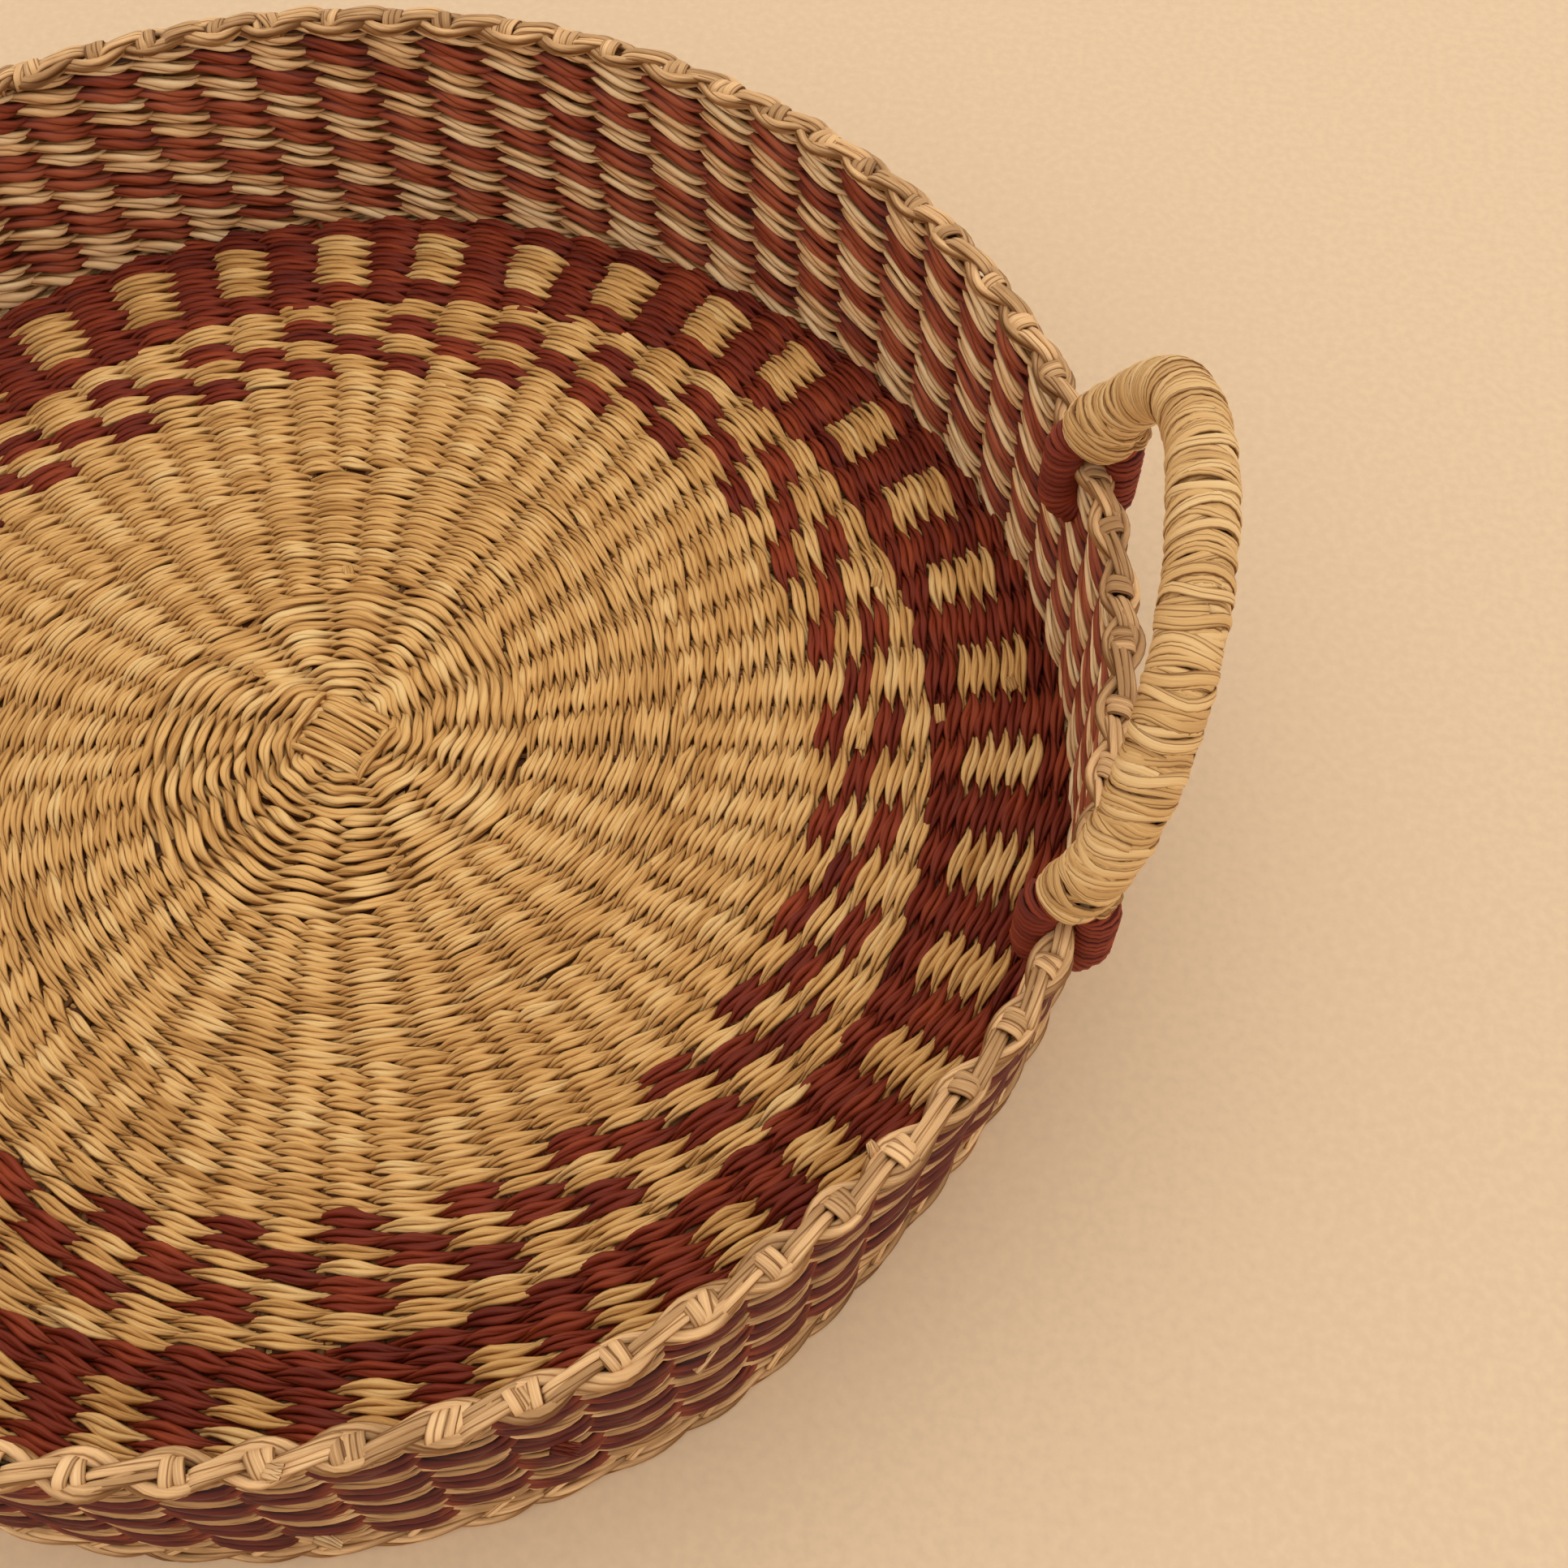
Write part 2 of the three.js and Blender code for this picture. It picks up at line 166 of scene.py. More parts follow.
# Hinge rings: straight legs between two bends, wound with a strip of given half width and half thickness
AXIS_RADIUS = 0.183866
AXIS_HEIGHT = 0.0803
RING_OFFSET = 0.0603
RING_BENDS = {"front": 0.0058, "back": 0.0068}
RING_SHIFTS = {"front": 0.0010, "back": 0.0}
RING_LEG = 0.0135
RING_TUBE = 0.0037
RING_PITCH = 0.0019
RING_STRIP = (0.0012, 0.0009)
RING_TONES = (0.1, 0.8)
RING_BEND_POINTS = 24
RING_TURN_STEPS = 14

# Handles: an arch, wound with strips. A wrap: pitch, half width and half thickness of its strip, tilt
FACINGS = {"right": 0.0, "left": math.pi}
ARCH_HEIGHT = 0.057
ARCH_FULLNESS = 2.2
ARCH_LEAN = 17
ARCH_POINTS = 400
NECK = 0.0132
WRAP_TURN_STEPS = 22
SHINGLE = 0.25
STRIP_WAVE = 0.45
STRIP_PUFF = 0.0004
UNDER_LAYER = 0.0005
# The under layer's tones are lower than the top layer's: painted shade in the slits
UNDER_SHADE_TONES = (0.1, 0.5)
GRIP_WRAP = {"pitch": 0.0016, "strip": (0.0014, 0.00045), "tilt": 0.0009}
GRIP_TONES = ((0.25, 0.75), (0.35, 0.9), (0.25, 0.75))
GRIP_RADIUS = 0.0068
GRIP_OVERLAP = 0.002
# Share of the grip's radius at distances from its front end and from its back end
GRIP_FRONT = ((0.0, 0.93), (0.06, 0.99), (0.12, 1.0))
GRIP_BACK = ((0.035, 1.0), (0.015, 0.90))
COLLAR_WRAP = {"pitch": 0.0019, "strip": (0.0014, 0.0006), "tilt": 0.0007}
COLLAR_TONES = (0.25, 0.75)
COLLAR_LENGTH = 0.0151
COLLAR_END = 0.0023
COLLAR_SHIFT = 0.0024
COLLAR_POINTS = 11
COLLAR_SIZES = {"front": 0.83, "back": 1.08}
COLLAR_INSET = 0.001
# Outer radius of an end winding at distances from its lower end, and the stretch where its own size runs out
COLLAR_PLACES = (0.0, 0.0008, 0.002, 0.004, 0.007, 0.011, 0.015, 0.019, 0.027)
COLLAR_RADII = (0.0035, 0.0052, 0.0069, 0.0085, 0.0093, 0.0086, 0.0077, 0.0073, 0.0072)
COLLAR_EASE = (0.008, 0.018)
TUFT_PLACES = {"front": 0.009, "back": 0.011}
TUFT_STRIPS = 3
TUFT_SPACING = 0.0012
TUFT_TURN = (55, 75)
TUFT_SPREAD = 0.25
TUFT_LIFT = 0.0012
TUFT_DIP = 0.0014
TUFT_HALF = 0.0008

# Loose ends: angle, radius, height, heading from outward, climb, length, dye
WALL_ENDS = (
    (-75, 0.1950, 0.0780, 70, 35, 0.005, 0),
    (-37.5, 0.1910, 0.0765, 180, 60, 0.0045, 0),
    (-61, 0.1965, 0.0450, 60, 10, 0.006, 1),
    (-52, 0.1965, 0.0500, 110, 30, 0.007, 0),
    (73, 0.1905, 0.0600, 140, 20, 0.006, 0),
    (-76, 0.1965, 0.0200, 70, -10, 0.006, 0),
)
FLOOR_ENDS = (
    (13, 0.1786, 0.0060, 120, 45, 0.004, 0),
    (10, 0.1583, 0.0060, 100, 30, 0.005, 0),
    (27, 0.1507, 0.0060, 60, 45, 0.005, 0),
    (7, 0.1369, 0.0060, 80, 30, 0.005, 0),
    (99, 0.0544, 0.0055, 20, 45, 0.0035, 0),
    (140, 0.0307, 0.0055, 70, 45, 0.0035, 0),
    (-55, 0.0400, 0.0055, 30, 45, 0.0035, 0),
)
END_HALF = 0.0008
END_BEND = 0.12

# Strand mesh: rings for a stitch, points in a ring, depth of grooves between plies, layout of the bake map
STITCH_STEPS = 8
STRAND_SIDES = 12
PLY_GROOVE = 0.3
STRIP_MARGIN = 0.06
GIRTH_TO_STEP = 4.0

# Hand work: unevenness of stakes and stitches in stitches, of rows in pitches, of turns in radians
SEED = 7
STAKE_SHIFT = 0.09
STITCH_SHIFT = 0.08
ROW_BEND = 0.09
ROW_BEND_WAVES = (3, 5, 8, 13)
ROW_WAVER = 0.03
STITCH_SLIDE = 0.1
STITCH_RISES = (0.8, 1.15)
STITCH_SIZES = (0.86, 1.14)
STITCH_TONES = (0.2, 0.8)
PLY_ROLL = 0.75
PLY_TURNS = 0.3
TURN_JITTER = 0.35
TONE_JITTER = 0.15
STRIP_SIZES = (0.85, 1.15)

# Weaves: swing to either side, slant and half width of a stitch as shares of the pitch, tone added on either
# side as painted light and painted shade, places and size of a strand's plies as shares of its half width,
# depth of the grooves in a ply, painted shade of the tucked ends, points round a ply, size of natural and red
# stitches beside each other on either side, and how much longer such a natural stitch stays on top
FLOOR_WEAVE = {
    "swing": (0.0018, 0.0018),
    "slant": 0.31,
    "widths": (0.28, 0.29),
    "side_light_and_shade": (0.0, 0.0),
    "plies": (-0.5, 0.5),
    "ply_size": 0.52,
    "groove": 0.0,
    "tuck_shade": 0.9,
    "sides": 8,
    "fronts": (0.95, 1.05),
    "backs": (1.0, 1.0),
    "bias": 0.22,
}
WALL_WEAVE = {
    "swing": (0.0019, 0.0020),
    "slant": 0.40,
    "widths": (0.27, 0.28),
    # Inside painted lighter and outside painted darker: painted light and painted shade
    "side_light_and_shade": (0.3, -0.9),
    "plies": (0.0,),
    "ply_size": 1.0,
    "groove": PLY_GROOVE,
    "tuck_shade": 1.3,
    "sides": STRAND_SIDES,
    "fronts": (0.94, 1.06),
    "backs": (0.82, 1.14),
    "bias": 0.0,
}
BASE_WEAVE = {**WALL_WEAVE, "swing": (0.0021, 0.0012)}
INNER_WEAVE = {**WALL_WEAVE, "swing": (0.0018, 0.0018), "slant": 0.31, "side_light_and_shade": (0.0, 0.0)}

# Dyes of a row's two strands: 0 is natural, 1 is red
NATURAL = (0, 0)
RED = (1, 1)
RED_FIRST = (1, 0)
RED_SECOND = (0, 1)

# Colours, linear
FLOOR_STRAW = ((0.54, 0.27, 0.075), (0.825, 0.482, 0.168), (0.93, 0.645, 0.285))
WALL_STRAW = ((0.44, 0.24, 0.10), (0.86, 0.53, 0.255), (0.95, 0.70, 0.40))
HANDLE_STRAW = ((0.47, 0.245, 0.080), (0.72, 0.435, 0.175), (0.86, 0.60, 0.30))
# Darker straw of the stakes and the sheets between them: painted shade
HIDDEN_STRAW_SHADE = ((0.24, 0.11, 0.028), (0.32, 0.16, 0.045), (0.40, 0.21, 0.065))
FLOOR_RED = ((0.13, 0.013, 0.005), (0.23, 0.030, 0.010), (0.35, 0.060, 0.018))
WALL_RED = ((0.115, 0.015, 0.009), (0.285, 0.052, 0.022), (0.43, 0.11, 0.05))
CANE = ((0.42, 0.27, 0.12), (0.56, 0.39, 0.19))
# Crease colours: painted shade in the grooves between plies, faint, soft and deep; the deep one also shades
# strand edges
FAINT_CREASE_SHADE = (0.88, 0.81, 0.70)
SOFT_CREASE_SHADE = (0.62, 0.49, 0.33)
DEEP_CREASE_SHADE = (0.34, 0.22, 0.10)
# Colour that the tucked ends are darkened towards: painted shade
TUCKED_SHADE = (0.42, 0.30, 0.18)
UNSHADED = (1.0, 1.0, 1.0)
TONE_STOPS = (0.0, 0.5, 1.0)
GRAIN_STOPS = (0.3, 0.7)

# Random numbers for all unevenness, the same at every run
rng = np.random.default_rng(SEED)


class Strand:
    """Skin of one strand: rings of points, distance along it and turn of its plies at every ring."""

    def __init__(self, rings, along, turns, closed):
        self.rings = rings
        self.along = along
        self.turns = turns
        self.count, self.sides = rings.shape[:2]
        self.spans = self.count if closed else self.count - 1
        # The edge look is near 1 at a strand's sides, where it carries painted shade along the edges
        self.looks = {"edge": np.tile(np.abs(np.cos(section_turns(self.sides))), self.count)}

    def grid(self):
        """Index along the strand and index round it, for every side face."""
        return np.meshgrid(np.arange(self.spans), np.arange(self.sides), indexing="ij")

    def corners(self):
        i, j = self.grid()
        here = i * self.sides
        ahead = (i + 1) % self.count * self.sides
        beside = (j + 1) % self.sides
        return np.stack([here + j, here + beside, ahead + beside, ahead + j], -1).reshape(-1, 4)

    def caps(self):
        """Faces over the ends of an open strand."""
        if self.spans == self.count:
            return []
        end = np.arange(self.sides)
        return [end[::-1], (self.count - 1) * self.sides + end]

    def strip_map(self):
        """Distance along the strand and share of the way round its plies."""
        i, j = self.grid()
        corners = ((i, j), (i, j + 1), (i + 1, j + 1), (i + 1, j))
        return face_map(*[(self.along[ring], side / self.sides - self.turns[ring]) for ring, side in corners])

    def bake_map(self, first, width, height):
        """Unwraps the strand into the strips of a square, from its first cell on."""
        i, j = self.grid()
        row, column = np.divmod(first + i, width)
        left = column / width
        right = left + 1 / width
        girth = (1 - 2 * STRIP_MARGIN) / self.sides
        low = (row + STRIP_MARGIN + girth * j) / height
        high = (row + STRIP_MARGIN + girth * (j + 1)) / height
        return face_map((left, low), (left, high), (right, high), (right, low))


class StrandMesh:
    """Collects strands and makes one mesh object of them."""

    def __init__(self):
        self.strands = []

    def add(self, strand, dye, tone, tuck_shade):
        """Takes a strand and its looks, one value or one for every ring; the last look is painted shade."""
        for label, value in (("dye", dye), ("tone", tone), ("tuck_shade", tuck_shade)):
            strand.looks[label] = np.repeat(np.broadcast_to(value, strand.count), strand.sides)
        self.strands.append(strand)

    def place(self, lean, offset, facing):
        """Leans all strands about y, moves them and turns them about z."""
        tilt = rotation(1, math.radians(lean))
        spin = rotation(2, facing)
        for strand in self.strands:
            strand.rings = (strand.rings @ tilt.T + offset) @ spin.T

    def bake_maps(self):
        """Unwraps all strands, cut into equal strips stacked in a square."""
        spans = [strand.spans for strand in self.strands]
        width = math.ceil(math.sqrt(sum(spans) * GIRTH_TO_STEP))
        height = math.ceil(sum(spans) / width)
        firsts = np.cumsum([0, *spans])
        return [strand.bake_map(first, width, height) for strand, first in zip(self.strands, firsts)]

    def build(self, name, material):
        points = np.concatenate([strand.rings.reshape(-1, 3) for strand in self.strands])
        bases = np.cumsum([0, *(strand.count * strand.sides for strand in self.strands)])
        based = list(zip(self.strands, bases))
        corners = np.concatenate([strand.corners() + base for strand, base in based])
        caps = [cap + base for strand, base in based for cap in strand.caps()]
        loops = np.concatenate([corners.ravel(), *caps])
        sizes = np.array([4] * len(corners) + [len(cap) for cap in caps])
        starts = np.cumsum(sizes) - sizes
        mesh = bpy.data.meshes.new(name)
        mesh.vertices.add(len(points))
        mesh.vertices.foreach_set("co", points.astype(np.float32).ravel())
        mesh.loops.add(len(loops))
        mesh.loops.foreach_set("vertex_index", loops.astype(np.int32))
        mesh.polygons.add(len(starts))
        mesh.polygons.foreach_set("loop_start", starts.astype(np.int32))
        mesh.polygons.foreach_set("use_smooth", np.ones(len(starts), bool))
        mesh.update(calc_edges=True)
        strips = [strand.strip_map() for strand in self.strands]
        for label, maps in (("OFBake", self.bake_maps()), ("strand", strips)):
            layer = mesh.uv_layers.new(name=label)
            flat = np.zeros((len(loops), 2), np.float32)
            flat[:corners.size] = np.concatenate(maps).reshape(-1, 2)
            layer.uv.foreach_set("vector", flat.ravel())
        for label in ("edge", "dye", "tone", "tuck_shade"):
            layer = mesh.attributes.new(label, "FLOAT", "POINT")
            values = np.concatenate([strand.looks[label] for strand in self.strands])
            layer.data.foreach_set("value", values.astype(np.float32))
        mesh.materials.append(material)
        piece = bpy.data.objects.new(name, mesh)
        bpy.context.collection.objects.link(piece)
        return piece

    def finish(self, name, material, slot, *nodes, body="tray"):
        """Makes the piece, with what it rides on and what it replaces; its slot is not used."""
        piece = self.build(name, material)
        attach(piece, body)
        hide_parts(*nodes)


def face_map(*pairs):
    """Map points of faces, from the two coordinates at each of their four corners."""
    return np.stack([np.stack(pair, -1) for pair in pairs], 2).reshape(-1, 4, 2)


def unit(vectors):
    return vectors / np.linalg.norm(vectors, axis=-1, keepdims=True)


def distances(path):
    """Distance of every point of a path from its start."""
    return np.concatenate([[0], np.cumsum(np.linalg.norm(np.diff(path, axis=0), axis=1))])


def blend(travel, places, vectors, period=None):
    """Vectors at distances between the given places."""
    return np.stack([np.interp(travel, places, part, period=period) for part in vectors.T], axis=1)


def rotation(axis, turn):
    """Matrix of a turn in radians about the x, y or z axis, numbered 0, 1 or 2."""
    first = (axis + 1) % 3
    second = (axis + 2) % 3
    matrix = np.eye(3)
    matrix[first, first] = math.cos(turn)
    matrix[second, second] = math.cos(turn)
    matrix[first, second] = -math.sin(turn)
    matrix[second, first] = math.sin(turn)
    return matrix


def polar(radius, theta, height):
    """Points at a distance from the z axis, an angle about it and a height."""
    return np.stack(np.broadcast_arrays(radius * np.cos(theta), radius * np.sin(theta), height), axis=-1)


def outward_at(theta):
    return polar(1.0, theta, 0.0)


def onward_at(theta):
    return polar(1.0, theta + np.pi / 2, 0.0)


def upward_at(theta):
    return polar(0.0, theta, 1.0)


def section_turns(sides):
    """Angles of the points of a strand's section, from its width direction."""
    return 2 * np.pi * (np.arange(sides) + 0.5) / sides


def sweep(points, guide, half_width, half_thickness, closed, twist, groove=PLY_GROOVE, sides=STRAND_SIDES):
    """Skin of a three-ply strand along points: width towards guide, plies turned by twist along the way."""
    if closed:
        tangent = unit(np.roll(points, -1, axis=0) - np.roll(points, 1, axis=0))
        along = distances(np.concatenate([points, points[:1]]))
    else:
        tangent = unit(np.gradient(points, axis=0))
        along = distances(points)
    across = unit(guide - np.sum(guide * tangent, axis=1, keepdims=True) * tangent)
    lift = np.cross(tangent, across)
    half_width = np.broadcast_to(half_width, len(points))
    half_thickness = np.broadcast_to(half_thickness, len(points))
    twist = np.broadcast_to(twist, len(points))
    turn = section_turns(sides)
    lobes = 1 - groove * np.abs(np.cos(1.5 * (turn - twist[:, None]))) ** 4
    wide = (half_width[:, None] * np.cos(turn) * lobes)[:, :, None] * across[:, None, :]
    thick = (half_thickness[:, None] * np.sin(turn) * lobes)[:, :, None] * lift[:, None, :]
    last = twist[-1] + (twist[-1] - twist[-2])
    turns = (np.append(twist, last) - np.pi / sides) / (2 * np.pi)
    return Strand(points[:, None, :] + wide + thick, along, turns, closed)


def waves(angles, counts, size):
    """Smooth closed unevenness round a ring."""
    total = np.zeros_like(angles)
    for count in counts:
        total += np.cos(count * angles + rng.uniform(0, 2 * np.pi)) * rng.uniform(0.5, 1.0)
    return size * total / math.sqrt(len(counts))


def bump_at(theta, angle, spread, height):
    apart = (theta - math.radians(angle) + np.pi) % (2 * np.pi) - np.pi
    return height * np.exp(-(apart / math.radians(spread)) ** 2)


def wall_radius(theta, height):
    """Middle of the wall's thickness: dented at the foot and bulging at the rim, each on one side."""
    share = np.clip(height / RIM_STRAND_HEIGHT, 0, 1)
    return RIM_RADIUS + (1 - share) * bump_at(theta, *FOOT_DENT) + share * bump_at(theta, *RIM_BULGE)


def on_floor(radius):
    """A row of the floor. The innermost rows go round the start patch, which is off the middle."""
    ease = np.clip((INNER_END - radius) / (INNER_END - START_RADIUS), 0, 1)
    shift = ease * np.array([*START_SHIFT, 0.0])
    inside = np.clip((FLOOR_END - radius) / (FLOOR_END - BORDER_END), 0, 1)

    def place(theta, across, lift):
        bulge = sum(bump_at(theta, *bump) for bump in FLOOR_BULGES)
        reach = radius + across + (1 - ease) * inside * bulge + (1 - inside) * bump_at(theta, *FOOT_DENT)
        return polar(reach, theta, FLOOR_MIDDLE + lift) + shift
    return place, outward_at


def on_wall(height):
    """A row of the wall."""
    def place(theta, across, lift):
        return polar(wall_radius(theta, height) - lift, theta, height + across)
    return place, upward_at


class StakeRing:
    """Angles of the stakes that one zone is woven on, a little uneven."""

    def __init__(self, count, angle, steps=STITCH_STEPS):
        self.count = count
        self.angle = math.radians(angle)
        self.places = np.arange(count * steps) / steps
        self.shift = rng.uniform(-STAKE_SHIFT, STAKE_SHIFT, count)
        self.bends = [(wave, rng.uniform(0, 2 * np.pi)) for wave in ROW_BEND_WAVES]

    def wander(self, theta):
        """Shared bend of the zone's rows, as a share of their pitch."""
        return sum(ROW_BEND * np.cos(wave * theta + start) for wave, start in self.bends)

    def angles(self, places):
        """Angles at places along a row, counted in stitches."""
        shift = self.shift + rng.uniform(-STITCH_SHIFT, STITCH_SHIFT, self.count)
        shift = np.append(shift, shift[0])
        index = np.arange(self.count + 1)
        return self.angle + 2 * np.pi / self.count * np.interp(places, index, index + shift)

    def stitches(self, low, high):
        """A random value for each stitch, blended along the strand."""
        return stitch_values(self.places, self.count, low, high)

    def ply_turns(self):
        """Turn of the plies along a closed strand, which comes back to its start."""
        whole = 2 * np.pi * round(self.count * PLY_TURNS)
        start = rng.uniform(0, np.pi)
        return start + whole * self.places / self.count + self.stitches(-TURN_JITTER, TURN_JITTER)


def stitch_values(places, count, low, high):
    """A random value for each of a ring's stitches or turns, blended between them."""
    values = rng.uniform(low, high, count)
    values = np.append(values, values[0])
    return np.interp(places, np.arange(count + 1), values)


def twined_row(mesh, surface, stakes, pitch, weave, dyes):
    """Two strands that go round the stakes together and cross between them."""
    place, guide = surface
    stitches = stakes.stitches
    theta = stakes.angles(stakes.places)
    wander = stakes.wander(theta) * pitch + waves(theta, (9, 16, 27), ROW_WAVER * pitch)
    narrow, widening = weave["widths"]
    for strand, dye in enumerate(dyes):
        turn = np.pi * (stakes.places + strand)
        bias = weave["bias"] if dye < dyes[1 - strand] else 0.0
        over = (np.cos(turn) + bias) / (1 + bias)
        full = np.abs(np.cos(turn))
        rise = np.where(over > 0, *weave["swing"]) * np.sign(over) * np.abs(over) ** 0.7
        rise = rise * stitches(*STITCH_RISES)
        slant = weave["slant"] * pitch * np.sin(turn)
        slant = slant + pitch * stitches(-STITCH_SLIDE, STITCH_SLIDE)
        size = stitches(*STITCH_SIZES)
        if dyes[0] != dyes[1]:
            size = size * np.where(over > 0, weave["fronts"][dye], weave["backs"][dye])
        half_width = pitch * (narrow + widening * full ** 0.9) * size
        half_thickness = pitch * (0.42 - 0.10 * full) * size
        tone = stitches(*STITCH_TONES) + waves(theta, (2, 5, 9), 0.12)
        # Painted light on one side of the row and painted shade on the other, such as the wall's inside and
        # outside
        tone = tone + np.where(over > 0, *weave["side_light_and_shade"]) * full
        roll = PLY_ROLL * np.sin(turn) + stitches(-TURN_JITTER, TURN_JITTER)
        ply_width = weave["ply_size"] * half_width
        for ply in weave["plies"]:
            across = slant + wander + ply * half_width * np.cos(roll)
            points = place(theta, across, rise + ply * half_thickness * np.sin(roll))
            shape = (True, stakes.ply_turns(), weave["groove"], weave["sides"])
            skin = sweep(points, guide(theta), ply_width, half_thickness, *shape)
            shade = tone + stitches(-TONE_JITTER, TONE_JITTER)
            # Painted shade that deepens towards the crossings, where the strand goes under
            mesh.add(skin, dye, shade, weave["tuck_shade"] * (1 - full))


def row_places(start, stop, count):
    """Middles of equal rows between two edges, and their pitch."""
    pitch = (stop - start) / count
    return start + pitch * (np.arange(count) + 0.5), pitch


def plain_rows(mesh, radii, pitch, stakes, weave):
    for radius in radii:
        twined_row(mesh, on_floor(radius), stakes, pitch, weave, NATURAL)


def inner_rows(material):
    mesh = StrandMesh()
    for start, stop, rows, count, angle in INNER_ZONES:
        stakes = StakeRing(count, angle, 2 * STITCH_STEPS)
        plain_rows(mesh, *row_places(start, stop, rows), stakes, INNER_WEAVE)
    mesh.finish("weave_inner", material, "straw", "floor_inner_ring", "underside_center")


def outer_rows(material):
    """Natural rows, first on fewer stakes and then on more, each in two pieces."""
    sparse = StakeRing(SPARSE_STAKES, SPARSE_ANGLE)
    dense = StakeRing(DASH_STAKES, DASH_ANGLE)
    zones = (
        (INNER_END, THIRD_STAKES_END, SPARSE_ROWS, sparse),
        (THIRD_STAKES_END, NATURAL_END, DENSE_ROWS, dense),
    )
    number = 0
    for start, stop, rows, stakes in zones:
        radii, pitch = row_places(start, stop, rows)
        half = (rows + 1) // 2
        for part in (radii[:half], radii[half:]):
            number += 1
            mesh = StrandMesh()
            plain_rows(mesh, part, pitch, stakes, FLOOR_WEAVE)
            mesh.finish(f"weave_outer_{number}", material, "straw", "floor_outer_ring")


def dash_rows(stakes, material):
    """Rows of one red and one natural strand: each pair of rows is a stake further on."""
    mesh = StrandMesh()
    radii, pitch = row_places(NATURAL_END, DASH_END, DASH_ROWS)
    for row, radius in enumerate(radii):
        dyes = RED_FIRST if row // 2 % 2 == 0 else RED_SECOND
        twined_row(mesh, on_floor(radius), stakes, pitch, FLOOR_WEAVE, dyes)
    mesh.finish("weave_dashes", material, "straw", "floor_dash_ring")


def border_rows(stakes, material):
    mesh = StrandMesh()
    plain_rows(mesh, *row_places(DASH_END, BORDER_END, BORDER_ROWS), stakes, FLOOR_WEAVE)
    mesh.finish("weave_border", material, "straw", "floor_border_ring")


def check_rows(material):
    """Red band with natural bars: check rows between red rows, in two pieces."""
    stakes = StakeRing(STAKE_COUNT, BAND_ANGLE)
    radii, pitch = row_places(BORDER_END, FLOOR_END, BAND_ROWS)
    pieces = (
        (1, range(BAND_SPLIT), "floor_check_ring"),
        (2, range(BAND_SPLIT, BAND_ROWS), "underside_check_ring"),
    )
    for number, rows, node in pieces:
        mesh = StrandMesh()
        for row in rows:
            checked = BAND_RED_ROWS <= row < BAND_ROWS - BAND_RED_ROWS
            dyes = RED_SECOND if checked else RED
            twined_row(mesh, on_floor(radii[row]), stakes, pitch, FLOOR_WEAVE, dyes)
        mesh.finish(f"weave_red_band_{number}", material, "red_straw", node)


def wall_rows(stakes, material):
    """Natural base row, check rows in pairs, and a natural row under the rim."""
    wall_row(stakes, material, "base", BASE_BOTTOM, BASE_TOP, BASE_WEAVE, "straw")
    heights, pitch = row_places(BASE_TOP, CHECK_TOP, CHECK_ROWS)
    half = CHECK_ROWS // 2
    pieces = (
        (1, range(half), "wall_checks_inside"),
        (2, range(half, CHECK_ROWS), "wall_checks_outside"),
    )
    for number, rows, node in pieces:
        mesh = StrandMesh()
        for row in rows:
            dyes = RED_SECOND if row // 2 % 2 == 0 else RED_FIRST
            twined_row(mesh, on_wall(heights[row]), stakes, pitch, WALL_WEAVE, dyes)
        mesh.finish(f"weave_wall_checks_{number}", material, "red_straw", node)
    wall_row(stakes, material, "top", CHECK_TOP, TOP_ROW_TOP, WALL_WEAVE, "pale_straw")


def wall_row(stakes, material, name, bottom, top, weave, slot):
    """A single natural row of the wall."""
    mesh = StrandMesh()
    twined_row(mesh, on_wall((bottom + top) / 2), stakes, top - bottom, weave, NATURAL)
    nodes = (f"wall_{name}_inside", f"wall_{name}_outside")
    mesh.finish(f"weave_wall_{name}", material, slot, *nodes)


def foot(stakes, material):
    mesh = StrandMesh()
    foot_strands(mesh, stakes)
    slanting_stakes(mesh, stakes)
    mesh.finish("weave_foot", material, "pale_straw", "foot_row")


def foot_strands(mesh, stakes):
    """Two strands twisted along the outer edge, and one inside them."""
    theta = stakes.angles(stakes.places)
    for reach, swing, start in FOOT_ROUTES:
        turn = np.pi * (stakes.places + start)
        radius = wall_radius(theta, FOOT_HEIGHT) + reach + swing * np.cos(turn)
        height = FOOT_HEIGHT + np.sign(swing) * FOOT_LIFT * np.sin(turn)
        half = FOOT_HALF * stakes.stitches(0.88, 1.1)
        twist = stakes.ply_turns()
        skin = sweep(polar(radius, theta, height), outward_at(theta), half, half, True, twist)
        # Painted shade where the foot strands cross
        mesh.add(skin, 0, stakes.stitches(0.0, 0.6), 0.4 * np.abs(np.sin(turn)))


def slanting_stakes(mesh, stakes):
    """Short stretches of the stakes that show above the foot."""
    run = np.linspace(0, 1, 9)
    for theta in stakes.angles(np.arange(STAKE_COUNT)):
        angle = theta + math.radians(rng.uniform(*SLANT_TURN)) * (0.5 - run)
        height = BASE_TOP + SLANT_RISE + (FOOT_HEIGHT - BASE_TOP) * run
        radius = wall_radius(angle, height) + np.interp(run, (0, 1), SLANT_REACH)
        half_width = SLANT_HALF_WIDTH * rng.uniform(0.8, 1.2)
        shape = (half_width, SLANT_HALF_THICKNESS, False, rng.uniform(0, np.pi), 0.2, 8)
        skin = sweep(polar(radius, angle, height), onward_at(angle), *shape)
        # The slanting stakes are darkened a little: painted shade
        mesh.add(skin, 0, rng.uniform(0.2, 0.6), 0.3)


def rim(stakes, material):
    mesh = StrandMesh()
    rim_strands(mesh, stakes)
    knots(mesh, stakes)
    stake_tails(mesh, stakes)
    mesh.finish("rim_plait", material, "pale_straw", "rim_border")


